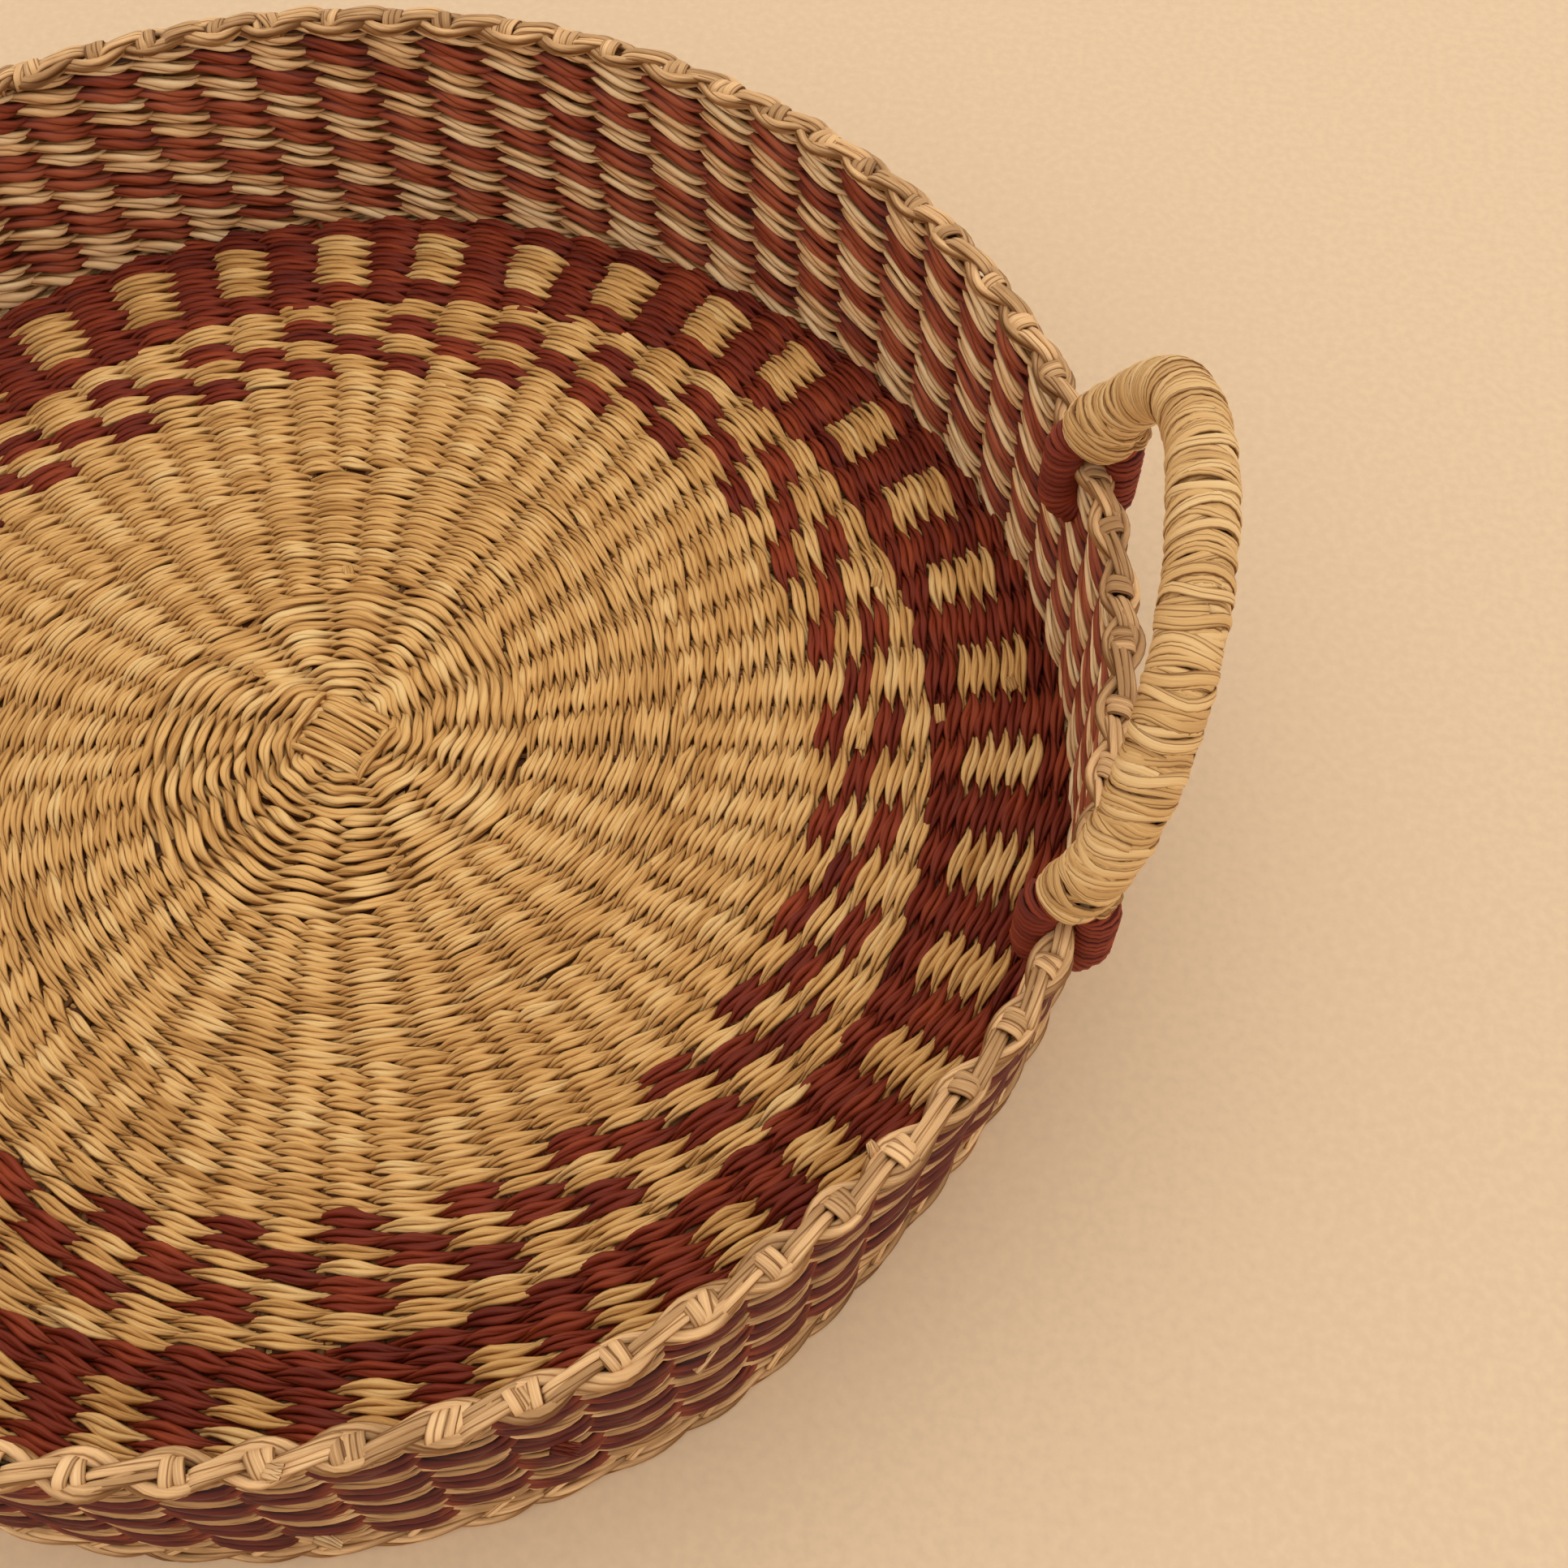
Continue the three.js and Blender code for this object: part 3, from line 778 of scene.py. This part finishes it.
def rim_strands(mesh, stakes):
    """Two strands that cross between the stakes and go round their knots."""
    theta = stakes.angles(stakes.places)
    sway = waves(theta, (5, 11, 17, 29), RIM_SWAY)
    for strand in (0, 1):
        turn = np.pi * (stakes.places + strand)
        over = np.cos(turn)
        swing = RIM_SWING * stakes.stitches(0.9, 1.15)
        radius = wall_radius(theta, RIM_STRAND_HEIGHT) + sway - swing * over
        height = RIM_STRAND_HEIGHT - RIM_CROSSING * np.sin(turn) - RIM_DIP * np.abs(over)
        half = RIM_STRAND_HALF * stakes.stitches(0.88, 1.15)
        twist = stakes.ply_turns()
        skin = sweep(polar(radius, theta, height), outward_at(theta), half, 1.1 * half, True, twist)
        # Painted shade where the two rim strands cross
        mesh.add(skin, 0, stakes.stitches(*RIM_TONES), 0.5 * np.abs(np.sin(turn)) ** 4)


def knots(mesh, stakes):
    """Flat strips folded over every stake: two or three, side by side and a little crossed."""
    turn = np.linspace(np.pi, 0, 15)
    for theta in stakes.angles(np.arange(STAKE_COUNT)):
        tone = rng.uniform(*RIM_TONES)
        strips = rng.integers(2, 4)
        lean = rng.uniform(-KNOT_LEAN, KNOT_LEAN)
        for strip in range(strips):
            span = KNOT_HALF_SPAN * rng.uniform(0.9, 1.1)
            top = KNOT_TOP - KNOT_FOOT - KNOT_STEP * strip + rng.uniform(-0.0003, 0.0003)
            across = span * np.sign(np.cos(turn)) * np.abs(np.cos(turn)) ** 0.75
            offset = KNOT_OVERLAP * KNOT_STRIP * (strip - (strips - 1) / 2) + rng.uniform(-0.0004, 0.0004)
            slide = offset + (lean + rng.uniform(-0.3, 0.3)) * across
            points = np.outer(wall_radius(theta, KNOT_TOP) + across, outward_at(theta))
            points = points + np.outer(slide, onward_at(theta))
            points[:, 2] = KNOT_FOOT + top * np.sin(turn) ** 0.6
            half_width = KNOT_STRIP / 2 * rng.uniform(*STRIP_SIZES)
            shape = (half_width, KNOT_STRIP_THICKNESS / 2, False, rng.uniform(0, np.pi), 0.2)
            skin = sweep(points, onward_at(theta), *shape)
            shade = tone + rng.uniform(-TONE_JITTER, TONE_JITTER)
            # Painted shade at both ends of the strip, where it goes under
            mesh.add(skin, 0, shade, np.abs(np.cos(turn)) ** 4)


def stake_tails(mesh, stakes):
    """The end of every stake, laid over the crossing and tucked in beside the next knot."""
    run = np.linspace(0, 1, 17)
    knots_at = stakes.angles(np.arange(STAKE_COUNT + 1))
    for here, following in zip(knots_at[:-1], knots_at[1:]):
        start = here + TAIL_START / RIM_RADIUS
        stop = following - TAIL_STOP / RIM_RADIUS
        angle = start + (stop - start) * run
        for beside in (-TAIL_SPREAD, TAIL_SPREAD):
            radius = wall_radius(angle, TAIL_TOP) + np.interp(run, (0, 1), TAIL_REACH)
            radius = radius + beside + rng.uniform(-0.0003, 0.0003)
            height = TAIL_TOP + rng.uniform(-0.0004, 0.0003) - TAIL_DIP * np.abs(2 * run - 1) ** 4
            half = TAIL_HALF * rng.uniform(*STRIP_SIZES)
            twist = rng.uniform(0, np.pi) + run * rng.uniform(0.6, 1.6)
            skin = sweep(polar(radius, angle, height), outward_at(angle), half, 0.9 * half, False, twist)
            # Painted shade at both ends of the tail, where it goes under
            mesh.add(skin, 0, rng.uniform(*RIM_TONES), np.abs(2 * run - 1) ** 6)


def shade_sheets(mesh):
    """Stand-ins for the hidden parts of the strands, dark as painted shade in the gaps: a thin flat ring in
    the floor and a thin upright one in the wall.
    """
    count = 4 * STAKE_COUNT
    theta = 2 * np.pi * np.arange(count) / count
    middle = (BASE_BOTTOM + TOP_ROW_TOP) / 2
    flare = wall_radius(theta, TOP_ROW_TOP) - wall_radius(theta, BASE_BOTTOM)
    upward = polar(flare, theta, TOP_ROW_TOP - BASE_BOTTOM)
    floor_points = polar((START_RADIUS + FLOOR_END) / 2, theta, FLOOR_MIDDLE - SHEET_DROP)
    wall_points = polar(wall_radius(theta, middle), theta, middle)
    sheets = (
        (floor_points, outward_at(theta), (FLOOR_END - START_RADIUS) / 2),
        (wall_points, upward, (TOP_ROW_TOP - BASE_BOTTOM) / 2),
    )
    for points, guide, half_width in sheets:
        skin = sweep(points, guide, half_width, SHEET_HALF_THICKNESS, True, 0.0, 0.0, 16)
        # Each sheet is darkened in full: painted shade
        mesh.add(skin, SHEET_DYE, 0.0, HIDDEN_TUCK_SHADE)


def stakes_piece(wall_stakes, material):
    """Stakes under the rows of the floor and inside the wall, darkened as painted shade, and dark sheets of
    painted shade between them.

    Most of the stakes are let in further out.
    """
    mesh = StrandMesh()
    shade_sheets(mesh)
    bend_reach, bend_lift = STAKE_BEND
    floor_steps = 20
    wall_steps = 12
    rise = np.linspace(FLOOR_MIDDLE + bend_lift, KNOT_FOOT, wall_steps)
    height = np.concatenate([np.full(floor_steps, FLOOR_MIDDLE), rise])
    for index, wall_angle in enumerate(wall_stakes.angles(np.arange(STAKE_COUNT))):
        flat = math.radians(BAND_ANGLE) + 2 * np.pi * index / STAKE_COUNT
        start = START_RADIUS if index % LONG_STAKE_EVERY == 0 else (INNER_END, THIRD_STAKES_END)[index % 2]
        along_floor = np.linspace(start, RIM_RADIUS - bend_reach, floor_steps)
        reach = np.concatenate([along_floor, np.full(wall_steps, RIM_RADIUS)])
        share = np.clip((reach - BORDER_END) / (RIM_RADIUS - BORDER_END), 0, 1)
        theta = flat + (wall_angle - flat) * share
        reach = reach + share * (wall_radius(theta, height) - RIM_RADIUS)
        half_width = np.minimum(STAKE_HALF_WIDTH, STAKE_TIP + STAKE_TAPER * reach)
        shape = (half_width, STAKE_HALF_THICKNESS, False, 0.0, 0.1, 6)
        skin = sweep(polar(reach, theta, height), onward_at(theta), *shape)
        # The stakes are darkened: painted shade in the gaps
        mesh.add(skin, 0, rng.uniform(0.0, 0.3), HIDDEN_TUCK_SHADE)
    fans = [f"stake_fan_{number}" for number in range(1, 9)]
    mesh.finish("stakes_woven", material, "dark_straw", *fans)


def loose_ends(name, ends, material, node):
    """Ends of strands left standing out of the weave, each of three fibres."""
    mesh = StrandMesh()
    run = np.linspace(0, 1, 9)
    for angle, radius, height, heading, climb, length, dye in ends:
        theta = math.radians(angle)
        way = theta + math.radians(heading)
        slope = math.radians(climb)
        step = polar(math.cos(slope), way, math.sin(slope))
        side = onward_at(way)
        for fibre in (-1, 0, 1):
            bend = rng.uniform(-END_BEND, END_BEND)
            points = polar(radius, theta, height) + side * END_HALF * fibre
            points = points + np.outer(run * length, step) + np.outer(bend * length * run ** 2, side)
            half_width = END_HALF * (1 - 0.5 * run ** 2)
            skin = sweep(points, side, half_width, 0.5 * half_width, False, 2 * run, 0.2, 8)
            # Painted shade at the root of the fibre, where it leaves the weave
            mesh.add(skin, dye, rng.uniform(0.2, 0.7), 1 - run)
    mesh.finish(name, material, "straw", node)


def start_patch(material):
    """Parallel strands in the middle of the floor, and one across each end of them."""
    mesh = StrandMesh()
    run = np.linspace(-1, 1, 17)
    onward = outward_at(math.radians(START_ANGLE))
    beside = onward_at(math.radians(START_ANGLE))
    routes = []
    for strand in range(START_STRANDS):
        offset = (strand - (START_STRANDS - 1) / 2) * START_PITCH
        routes.append((onward, beside, beside * offset, START_HALF_LENGTH, START_LIFT))
    for end in (-1, 1):
        half = START_STRANDS * START_PITCH / 2
        routes.append((beside, onward, onward * end * START_HALF_LENGTH, half, START_END_LIFT))
    centre = np.array([*START_SHIFT, 0.0])
    for way, side, middle, half_length, lift in routes:
        half_run = half_length + rng.uniform(-0.0008, 0.0008)
        skewed = way + side * rng.uniform(-START_SKEW, START_SKEW)
        points = np.outer(run * half_run, skewed) + middle + centre
        drop = START_DROP * np.abs(run) ** 5
        points[:, 2] = FLOOR_MIDDLE + lift - drop + rng.uniform(-0.0003, 0.0003)
        size = START_PITCH * rng.uniform(0.9, 1.1) * (1 - START_TAPER * np.abs(run) ** 3)
        twist = rng.uniform(0, np.pi) + run * 1.1
        skin = sweep(points, side, START_HALF_WIDTH * size, START_HALF_THICKNESS * size, False, twist, 0.2)
        # Painted shade at the ends of the strand, where it drops under
        mesh.add(skin, 0, rng.uniform(0.15, 0.7), np.abs(run) ** 4)
    mesh.finish("weave_start", material, "straw", "start_patch")


def radial_at(side, way, turn):
    """Direction away from a path at turns about it, from a direction beside the path."""
    return np.cos(turn)[:, None] * np.cross(side, way) + np.sin(turn)[:, None] * side


def ring_path(bend):
    """Closed centre line of a hinge ring: two half circles joined by straight legs."""
    upper = np.linspace(0, np.pi, RING_BEND_POINTS)
    turn = np.concatenate([upper, upper + np.pi, [0.0]])
    drop = np.concatenate([0 * upper, 0 * upper + RING_LEG, [0.0]])
    return np.stack([bend * np.cos(turn), np.zeros_like(turn), bend * np.sin(turn) - drop], axis=1)


def wound_ring(mesh, path, side):
    """Strip wound round a closed path as one long helix."""
    half_width, half_thickness = RING_STRIP
    distance = distances(path)
    turns = round(distance[-1] / RING_PITCH)
    count = turns * RING_TURN_STEPS
    loop = np.arange(count) / RING_TURN_STEPS
    uneven = stitch_values(loop, turns, -0.25, 0.25)
    travel = (loop + uneven) * distance[-1] / turns % distance[-1]
    halfway = (distance[1:] + distance[:-1]) / 2
    way = unit(blend(travel, halfway, unit(np.diff(path, axis=0)), distance[-1]))
    radial = radial_at(side, way, 2 * np.pi * loop)
    reach = RING_TUBE + 0.5 * half_thickness + rng.uniform(-1, 1, count) * 0.08 * half_thickness
    points = blend(travel, distance, path) + radial * reach[:, None]
    skin = sweep(points, way + SHINGLE * radial, half_width, half_thickness, True, 0.0, 0.1, 8)
    mesh.add(skin, 1, stitch_values(loop, turns, *RING_TONES), 0.0)


def hinge_rings(material):
    sideways = np.array([0.0, 1.0, 0.0])
    for name, facing in FACINGS.items():
        for end, side in (("front", -1), ("back", 1)):
            mesh = StrandMesh()
            path = ring_path(RING_BENDS[end])
            # Core under the winding, darkened in full: painted shade in the gaps of the winding
            mesh.add(sweep(path[:-1], sideways, RING_TUBE, RING_TUBE, True, 0.0, 0.0, 10), 1, 0.2, 1)
            wound_ring(mesh, path, sideways)
            offset = np.array([AXIS_RADIUS + RING_SHIFTS[end], side * RING_OFFSET, AXIS_HEIGHT])
            mesh.place(0, offset, facing)
            ring = f"{name}_ring_{end}"
            mesh.finish(f"{ring}_wound", material, "red_straw", ring)


def arch_points():
    """Centre line of a handle in its own plane, from the front neck over to the back neck."""
    power = 2 / ARCH_FULLNESS
    start = math.asin((NECK / ARCH_HEIGHT) ** (1 / power))
    reach = RING_OFFSET / math.cos(start) ** power
    angle = np.linspace(start, np.pi - start, ARCH_POINTS)
    across = -np.sign(np.cos(angle)) * np.abs(np.cos(angle)) ** power * reach
    up = np.sin(angle) ** power * ARCH_HEIGHT
    return np.stack([np.zeros(ARCH_POINTS), across, up], axis=1)


def along_path(path, travel):
    """Point and direction at distances along a path."""
    distance = distances(path)
    way = blend(travel, distance, unit(np.gradient(path, axis=0)))
    return blend(travel, distance, path), unit(way)


def winding(mesh, path, start, stop, wrap, radius_at, inset, tones):
    """Flat strip wound round a path between two distances, uneven as hand work is."""
    half_width, half_thickness = wrap["strip"]
    pitch = wrap["pitch"]
    turns = round((stop - start) / pitch)
    loop = np.arange(turns * WRAP_TURN_STEPS + 1) / WRAP_TURN_STEPS
    turn = 2 * np.pi * loop
    ends = turns + 2
    each = partial(np.interp, loop, np.arange(ends))
    uneven = each(rng.uniform(-0.1, 0.1, ends)) * pitch
    tilt = each(rng.normal(0.6, 0.6, ends)) * wrap["tilt"]
    lean = each(rng.normal(0.0, 0.6, ends)) * wrap["tilt"]
    phase = each(rng.uniform(0, 2 * np.pi, ends))
    wave = STRIP_WAVE * pitch * np.sin(2 * turn + phase)
    travel = start + (stop - start) * loop / turns + uneven + wave
    travel = travel + tilt * np.sin(turn) + lean * np.cos(turn)
    travel = np.clip(travel, start, stop)
    point, way = along_path(path, travel)
    radial = radial_at(np.array([1.0, 0.0, 0.0]), way, turn)
    reach = radius_at(travel) - inset + each(rng.uniform(-STRIP_PUFF, STRIP_PUFF, ends))
    points = point + radial * reach[:, None]
    size = each(rng.uniform(*STRIP_SIZES, ends))
    twist = rng.uniform(0, np.pi) + loop * 1.7
    lift = each(rng.uniform(-SHINGLE, SHINGLE, ends))
    lifted = way + lift[:, None] * radial
    skin = sweep(points, lifted, half_width * size, half_thickness * size, False, twist, 0.12)
    mesh.add(skin, 0, each(rng.uniform(*tones, ends)), 0.0)


def layered_winding(mesh, path, start, stop, wrap, radius_at, tones):
    """A winding over an earlier one that shows in its slits; the earlier one is darker, as painted shade."""
    winding(mesh, path, start, stop, wrap, radius_at, UNDER_LAYER, UNDER_SHADE_TONES)
    winding(mesh, path, start, stop, wrap, radius_at, 0.0, tones)


def grip_radius(travel, length):
    """A little slimmer towards both ends."""
    back = [(length - place, share) for place, share in GRIP_BACK]
    places, shares = zip(*GRIP_FRONT, *back)
    return GRIP_RADIUS * np.interp(travel, places, shares)


def collar_path(path):
    """Arch with a run below each neck, down to the rim and a little inward."""
    below = np.linspace(COLLAR_END, NECK, COLLAR_POINTS, endpoint=False)
    front = np.stack([0 * below, 0 * below - RING_OFFSET, below], axis=1)
    back = front[::-1] * np.array([1, -1, 1])
    whole = np.concatenate([front, path, back])
    ease = np.clip(1 - (whole[:, 2] - COLLAR_END) / (2 * NECK), 0, 1)
    whole[:, 0] = -COLLAR_SHIFT * ease ** 1.5
    return whole


def collar_radius(travel, size):
    """Rounded wrap: closes in towards the rim and runs out into the grip."""
    ease = np.interp(travel, COLLAR_EASE, (0, 1))
    return np.interp(travel, COLLAR_PLACES, COLLAR_RADII) * (size + (1 - size) * ease) - COLLAR_INSET


def tuft(mesh, path, travel, radius_at):
    """Cut ends tucked into the outer side of a wrap."""
    run = np.linspace(-1, 1, 7)
    for strip in range(TUFT_STRIPS):
        places = travel + TUFT_SPACING * (strip - 1 + run)
        point, way = along_path(path, places)
        turn = math.radians(rng.uniform(*TUFT_TURN)) + TUFT_SPREAD * run
        radial = radial_at(np.array([1.0, 0.0, 0.0]), way, turn)
        reach = radius_at(places) + TUFT_LIFT - TUFT_DIP * run ** 2
        points = point + radial * reach[:, None]
        twist = rng.uniform(0, np.pi) + run
        skin = sweep(points, way + 0.5 * radial, TUFT_HALF, TUFT_HALF, False, twist, sides=8)
        # Painted shade at both ends of the tuft strip
        mesh.add(skin, 0, rng.uniform(0.3, 0.9), run ** 2)


def handle(name, facing, material):
    body = f"{name}_handle"
    axis = np.array([AXIS_RADIUS, 0.0, AXIS_HEIGHT])
    path = arch_points()
    length = distances(path)[-1]
    grip_start = COLLAR_LENGTH - GRIP_OVERLAP
    each = (length - 2 * grip_start) / len(GRIP_TONES)
    radius = partial(grip_radius, length=length)
    for number, tones in enumerate(GRIP_TONES):
        mesh = StrandMesh()
        start = grip_start + each * number
        layered_winding(mesh, path, start, start + each, GRIP_WRAP, radius, tones)
        mesh.place(ARCH_LEAN, axis, facing)
        node = f"{name}_grip_wrap_{number + 1}"
        mesh.finish(f"{name}_grip_wound_{number + 1}", material, "pale_straw", node, body=body)
    whole = collar_path(path)
    run = NECK - COLLAR_END + COLLAR_LENGTH
    for end, route in (("front", whole), ("back", whole[::-1])):
        mesh = StrandMesh()
        radius = partial(collar_radius, size=COLLAR_SIZES[end])
        layered_winding(mesh, route, 0.0, run, COLLAR_WRAP, radius, COLLAR_TONES)
        tuft(mesh, route, TUFT_PLACES[end], radius)
        mesh.place(ARCH_LEAN, axis, facing)
        mesh.finish(f"{name}_end_wound_{end}", material, "straw", f"{name}_end_wrap_{end}", body=body)


class Look:
    """A new material and the nodes that it is made of."""

    def __init__(self, name):
        self.material = bpy.data.materials.new(name)
        self.material.use_nodes = True
        self.tree = self.material.node_tree
        self.surface = self.tree.nodes["Principled BSDF"].inputs

    def put(self, socket, value):
        """Links another node's output to a socket, or sets the socket to a number or a colour."""
        if isinstance(value, bpy.types.NodeSocket):
            self.tree.links.new(value, socket)
        elif isinstance(value, tuple):
            socket.default_value = (*value, 1.0)
        else:
            socket.default_value = value

    def node(self, kind, **inputs):
        node = self.tree.nodes.new(f"ShaderNode{kind}")
        for name, value in inputs.items():
            self.put(node.inputs[name], value)
        return node

    def attribute(self, name):
        node = self.node("Attribute")
        node.attribute_name = name
        return node.outputs["Fac"]

    def math(self, operation, *values):
        node = self.node("Math")
        node.operation = operation
        for socket, value in zip(node.inputs, values):
            self.put(socket, value)
        return node.outputs[0]

    def mix(self, blend_type, factor, first, second):
        node = self.node("Mix")
        node.data_type = "RGBA"
        node.blend_type = blend_type
        for index, value in ((0, factor), (6, first), (7, second)):
            self.put(node.inputs[index], value)
        return node.outputs[2]

    def ramp(self, level, places, colours):
        node = self.node("ValToRGB", Fac=level)
        elements = node.color_ramp.elements
        while len(elements) < len(places):
            elements.new(0.5)
        for element, place, colour in zip(elements, places, colours):
            element.position = place
            element.color = (*colour, 1.0)
        return node.outputs[0]


def straw_material(name, straw, red_straw, crease_shade_colour, crease_width):
    """Twisted straw: natural or dyed by the strand, with fibres along it, and painted shade in its grooves,
    along its edges and at its tucked ends.
    """
    look = Look(name)
    strip = look.node("UVMap")
    strip.uv_map = "strand"
    stretch = look.node("Mapping", Vector=strip.outputs[0])
    stretch.inputs["Scale"].default_value = (70, 20, 1)
    noise = look.node("TexNoise", Scale=1.0, Detail=4.0, Roughness=0.65, Vector=stretch.outputs[0])
    fibre = noise.outputs["Fac"]
    place = look.node("TexCoord").outputs["Object"]
    blotch = look.node("TexNoise", Scale=60.0, Detail=2.0, Vector=place).outputs["Fac"]
    level = look.math("ADD", look.attribute("tone"), look.math("MULTIPLY_ADD", fibre, 1.2, -0.6))
    level = look.math("ADD", level, look.math("MULTIPLY_ADD", blotch, 0.5, -0.25))
    natural = look.ramp(level, TONE_STOPS, straw)
    red = look.ramp(level, TONE_STOPS, red_straw)
    colour = look.mix("MIX", look.attribute("dye"), natural, red)
    # Painted shade at the tucked ends of the strands
    shade = look.math("MULTIPLY", look.attribute("tuck_shade"), 0.35)
    colour = look.mix("MULTIPLY", shade, colour, TUCKED_SHADE)
    # Painted shade in the grooves between the three plies
    way_round = look.node("SeparateXYZ", Vector=strip.outputs[0]).outputs[1]
    crest = look.math("ABSOLUTE", look.math("SINE", look.math("MULTIPLY", way_round, 3 * math.pi)))
    crease_shade = look.ramp(crest, (0.0, crease_width), (crease_shade_colour, UNSHADED))
    colour = look.mix("MULTIPLY", 1.0, colour, crease_shade)
    # Painted shade along the strand's edges, where it meets its neighbours
    edge = look.ramp(look.attribute("edge"), (0.66, 1.0), (UNSHADED, DEEP_CREASE_SHADE))
    look.put(look.surface["Base Color"], look.mix("MULTIPLY", 1.0, colour, edge))
    look.put(look.surface["Roughness"], look.math("MULTIPLY_ADD", fibre, 0.3, 0.42))
    look.put(look.surface["Specular IOR Level"], 0.25)
    height = look.math("MULTIPLY_ADD", fibre, 0.5, crest)
    bump = look.node("Bump", Strength=0.55, Distance=0.0005, Height=height)
    look.put(look.surface["Normal"], bump.outputs[0])
    return look.material


def cane_material():
    look = Look("bare_cane")
    grain = look.node("TexNoise", Scale=220.0, Detail=3.0).outputs["Fac"]
    look.put(look.surface["Base Color"], look.ramp(grain, GRAIN_STOPS, CANE))
    look.put(look.surface["Roughness"], 0.6)
    return look.material


def table_material():
    look = Look("table")
    place = look.node("TexCoord").outputs["Object"]
    fleck = look.node("TexNoise", Scale=380.0, Detail=2.0, Vector=place).outputs["Fac"]
    colours = np.outer(TABLE_SHADES, TABLE_COLOUR)
    look.put(look.surface["Base Color"], look.ramp(fleck, GRAIN_STOPS, colours))
    look.put(look.surface["Roughness"], 0.85)
    look.put(look.surface["Specular IOR Level"], 0.1)
    return look.material


def stage():
    bpy.ops.mesh.primitive_plane_add(size=TABLE_SIZE, location=(0, 0, 0))
    floor = bpy.context.object
    floor.name = "table_top"
    floor.data.materials.append(table_material())


def lights():
    """Soft light from all round, and a large lamp that faces the tray from above."""
    world = bpy.data.worlds.new("studio")
    world.use_nodes = True
    background = world.node_tree.nodes["Background"]
    background.inputs[0].default_value = (*SKY_COLOUR, 1.0)
    background.inputs[1].default_value = SKY_STRENGTH
    bpy.context.scene.world = world
    data = bpy.data.lights.new("key", "AREA")
    data.shape = "DISK"
    data.size = KEY_SIZE
    data.energy = KEY_POWER
    data.color = KEY_COLOUR
    lamp = bpy.data.objects.new("key", data)
    lamp.location = KEY_PLACE
    lamp.rotation_euler = Vector(KEY_PLACE).to_track_quat("Z", "Y").to_euler()
    bpy.context.collection.objects.link(lamp)


def camera():
    """Camera that faces the middle of the tray's base, then turned by yaw, pitch and roll."""
    azimuth = math.radians(CAMERA_AZIMUTH)
    elevation = math.radians(CAMERA_ELEVATION)
    toward = polar(math.cos(elevation), azimuth, math.sin(elevation))
    right = onward_at(azimuth)
    level = np.array([right, np.cross(toward, right), toward])
    yaw = rotation(1, math.radians(CAMERA_YAW))
    pitch = rotation(0, math.radians(CAMERA_PITCH))
    roll = rotation(2, math.radians(CAMERA_ROLL))
    placed = np.eye(4)
    placed[:3, :3] = (roll @ pitch @ yaw @ level).T
    placed[:3, 3] = toward * CAMERA_DISTANCE
    data = bpy.data.cameras.new("photo_view")
    data.sensor_fit = "HORIZONTAL"
    data.sensor_width = SENSOR_WIDTH
    data.lens = SENSOR_WIDTH * FOCAL_PIXELS / PHOTO_PIXELS
    data.clip_start = CLIP_START
    view = bpy.data.objects.new("photo_view", data)
    view.matrix_world = Matrix(placed.tolist())
    bpy.context.collection.objects.link(view)
    bpy.context.scene.camera = view


def cores(material):
    """The handles' cores are shown as they are, in cane."""
    for name in ("right_core", "left_core"):
        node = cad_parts[name]
        node.data.materials.clear()
        node.data.materials.append(material)


camera()
stage()
lights()
floor_straw = straw_material("floor_straw", FLOOR_STRAW, FLOOR_RED, SOFT_CREASE_SHADE, 0.3)
plied_straw = straw_material("plied_straw", FLOOR_STRAW, FLOOR_RED, FAINT_CREASE_SHADE, 0.2)
wall_straw = straw_material("wall_straw", WALL_STRAW, WALL_RED, DEEP_CREASE_SHADE, 0.38)
# Darker straw for the stakes and the sheets: painted shade
shaded_hidden_straw = straw_material("shaded_hidden_straw", HIDDEN_STRAW_SHADE, FLOOR_RED, DEEP_CREASE_SHADE, 0.38)
handle_straw = straw_material("handle_straw", HANDLE_STRAW, FLOOR_RED, DEEP_CREASE_SHADE, 0.26)
start_patch(floor_straw)
inner_rows(floor_straw)
outer_rows(plied_straw)
dash_stakes = StakeRing(DASH_STAKES, DASH_ANGLE)
dash_rows(dash_stakes, plied_straw)
border_rows(dash_stakes, plied_straw)
check_rows(plied_straw)
wall_stakes = StakeRing(STAKE_COUNT, WALL_CHECK_ANGLE)
wall_rows(wall_stakes, wall_straw)
foot(wall_stakes, wall_straw)
rim(wall_stakes, wall_straw)
stakes_piece(wall_stakes, shaded_hidden_straw)
loose_ends("wall_ends", WALL_ENDS, wall_straw, "wall_top_outside")
loose_ends("floor_ends", FLOOR_ENDS, floor_straw, "floor_check_ring")
hinge_rings(floor_straw)
for hand, facing in FACINGS.items():
    handle(hand, facing, handle_straw)
cores(cane_material())

bpy.context.scene.view_settings.view_transform = "Standard"
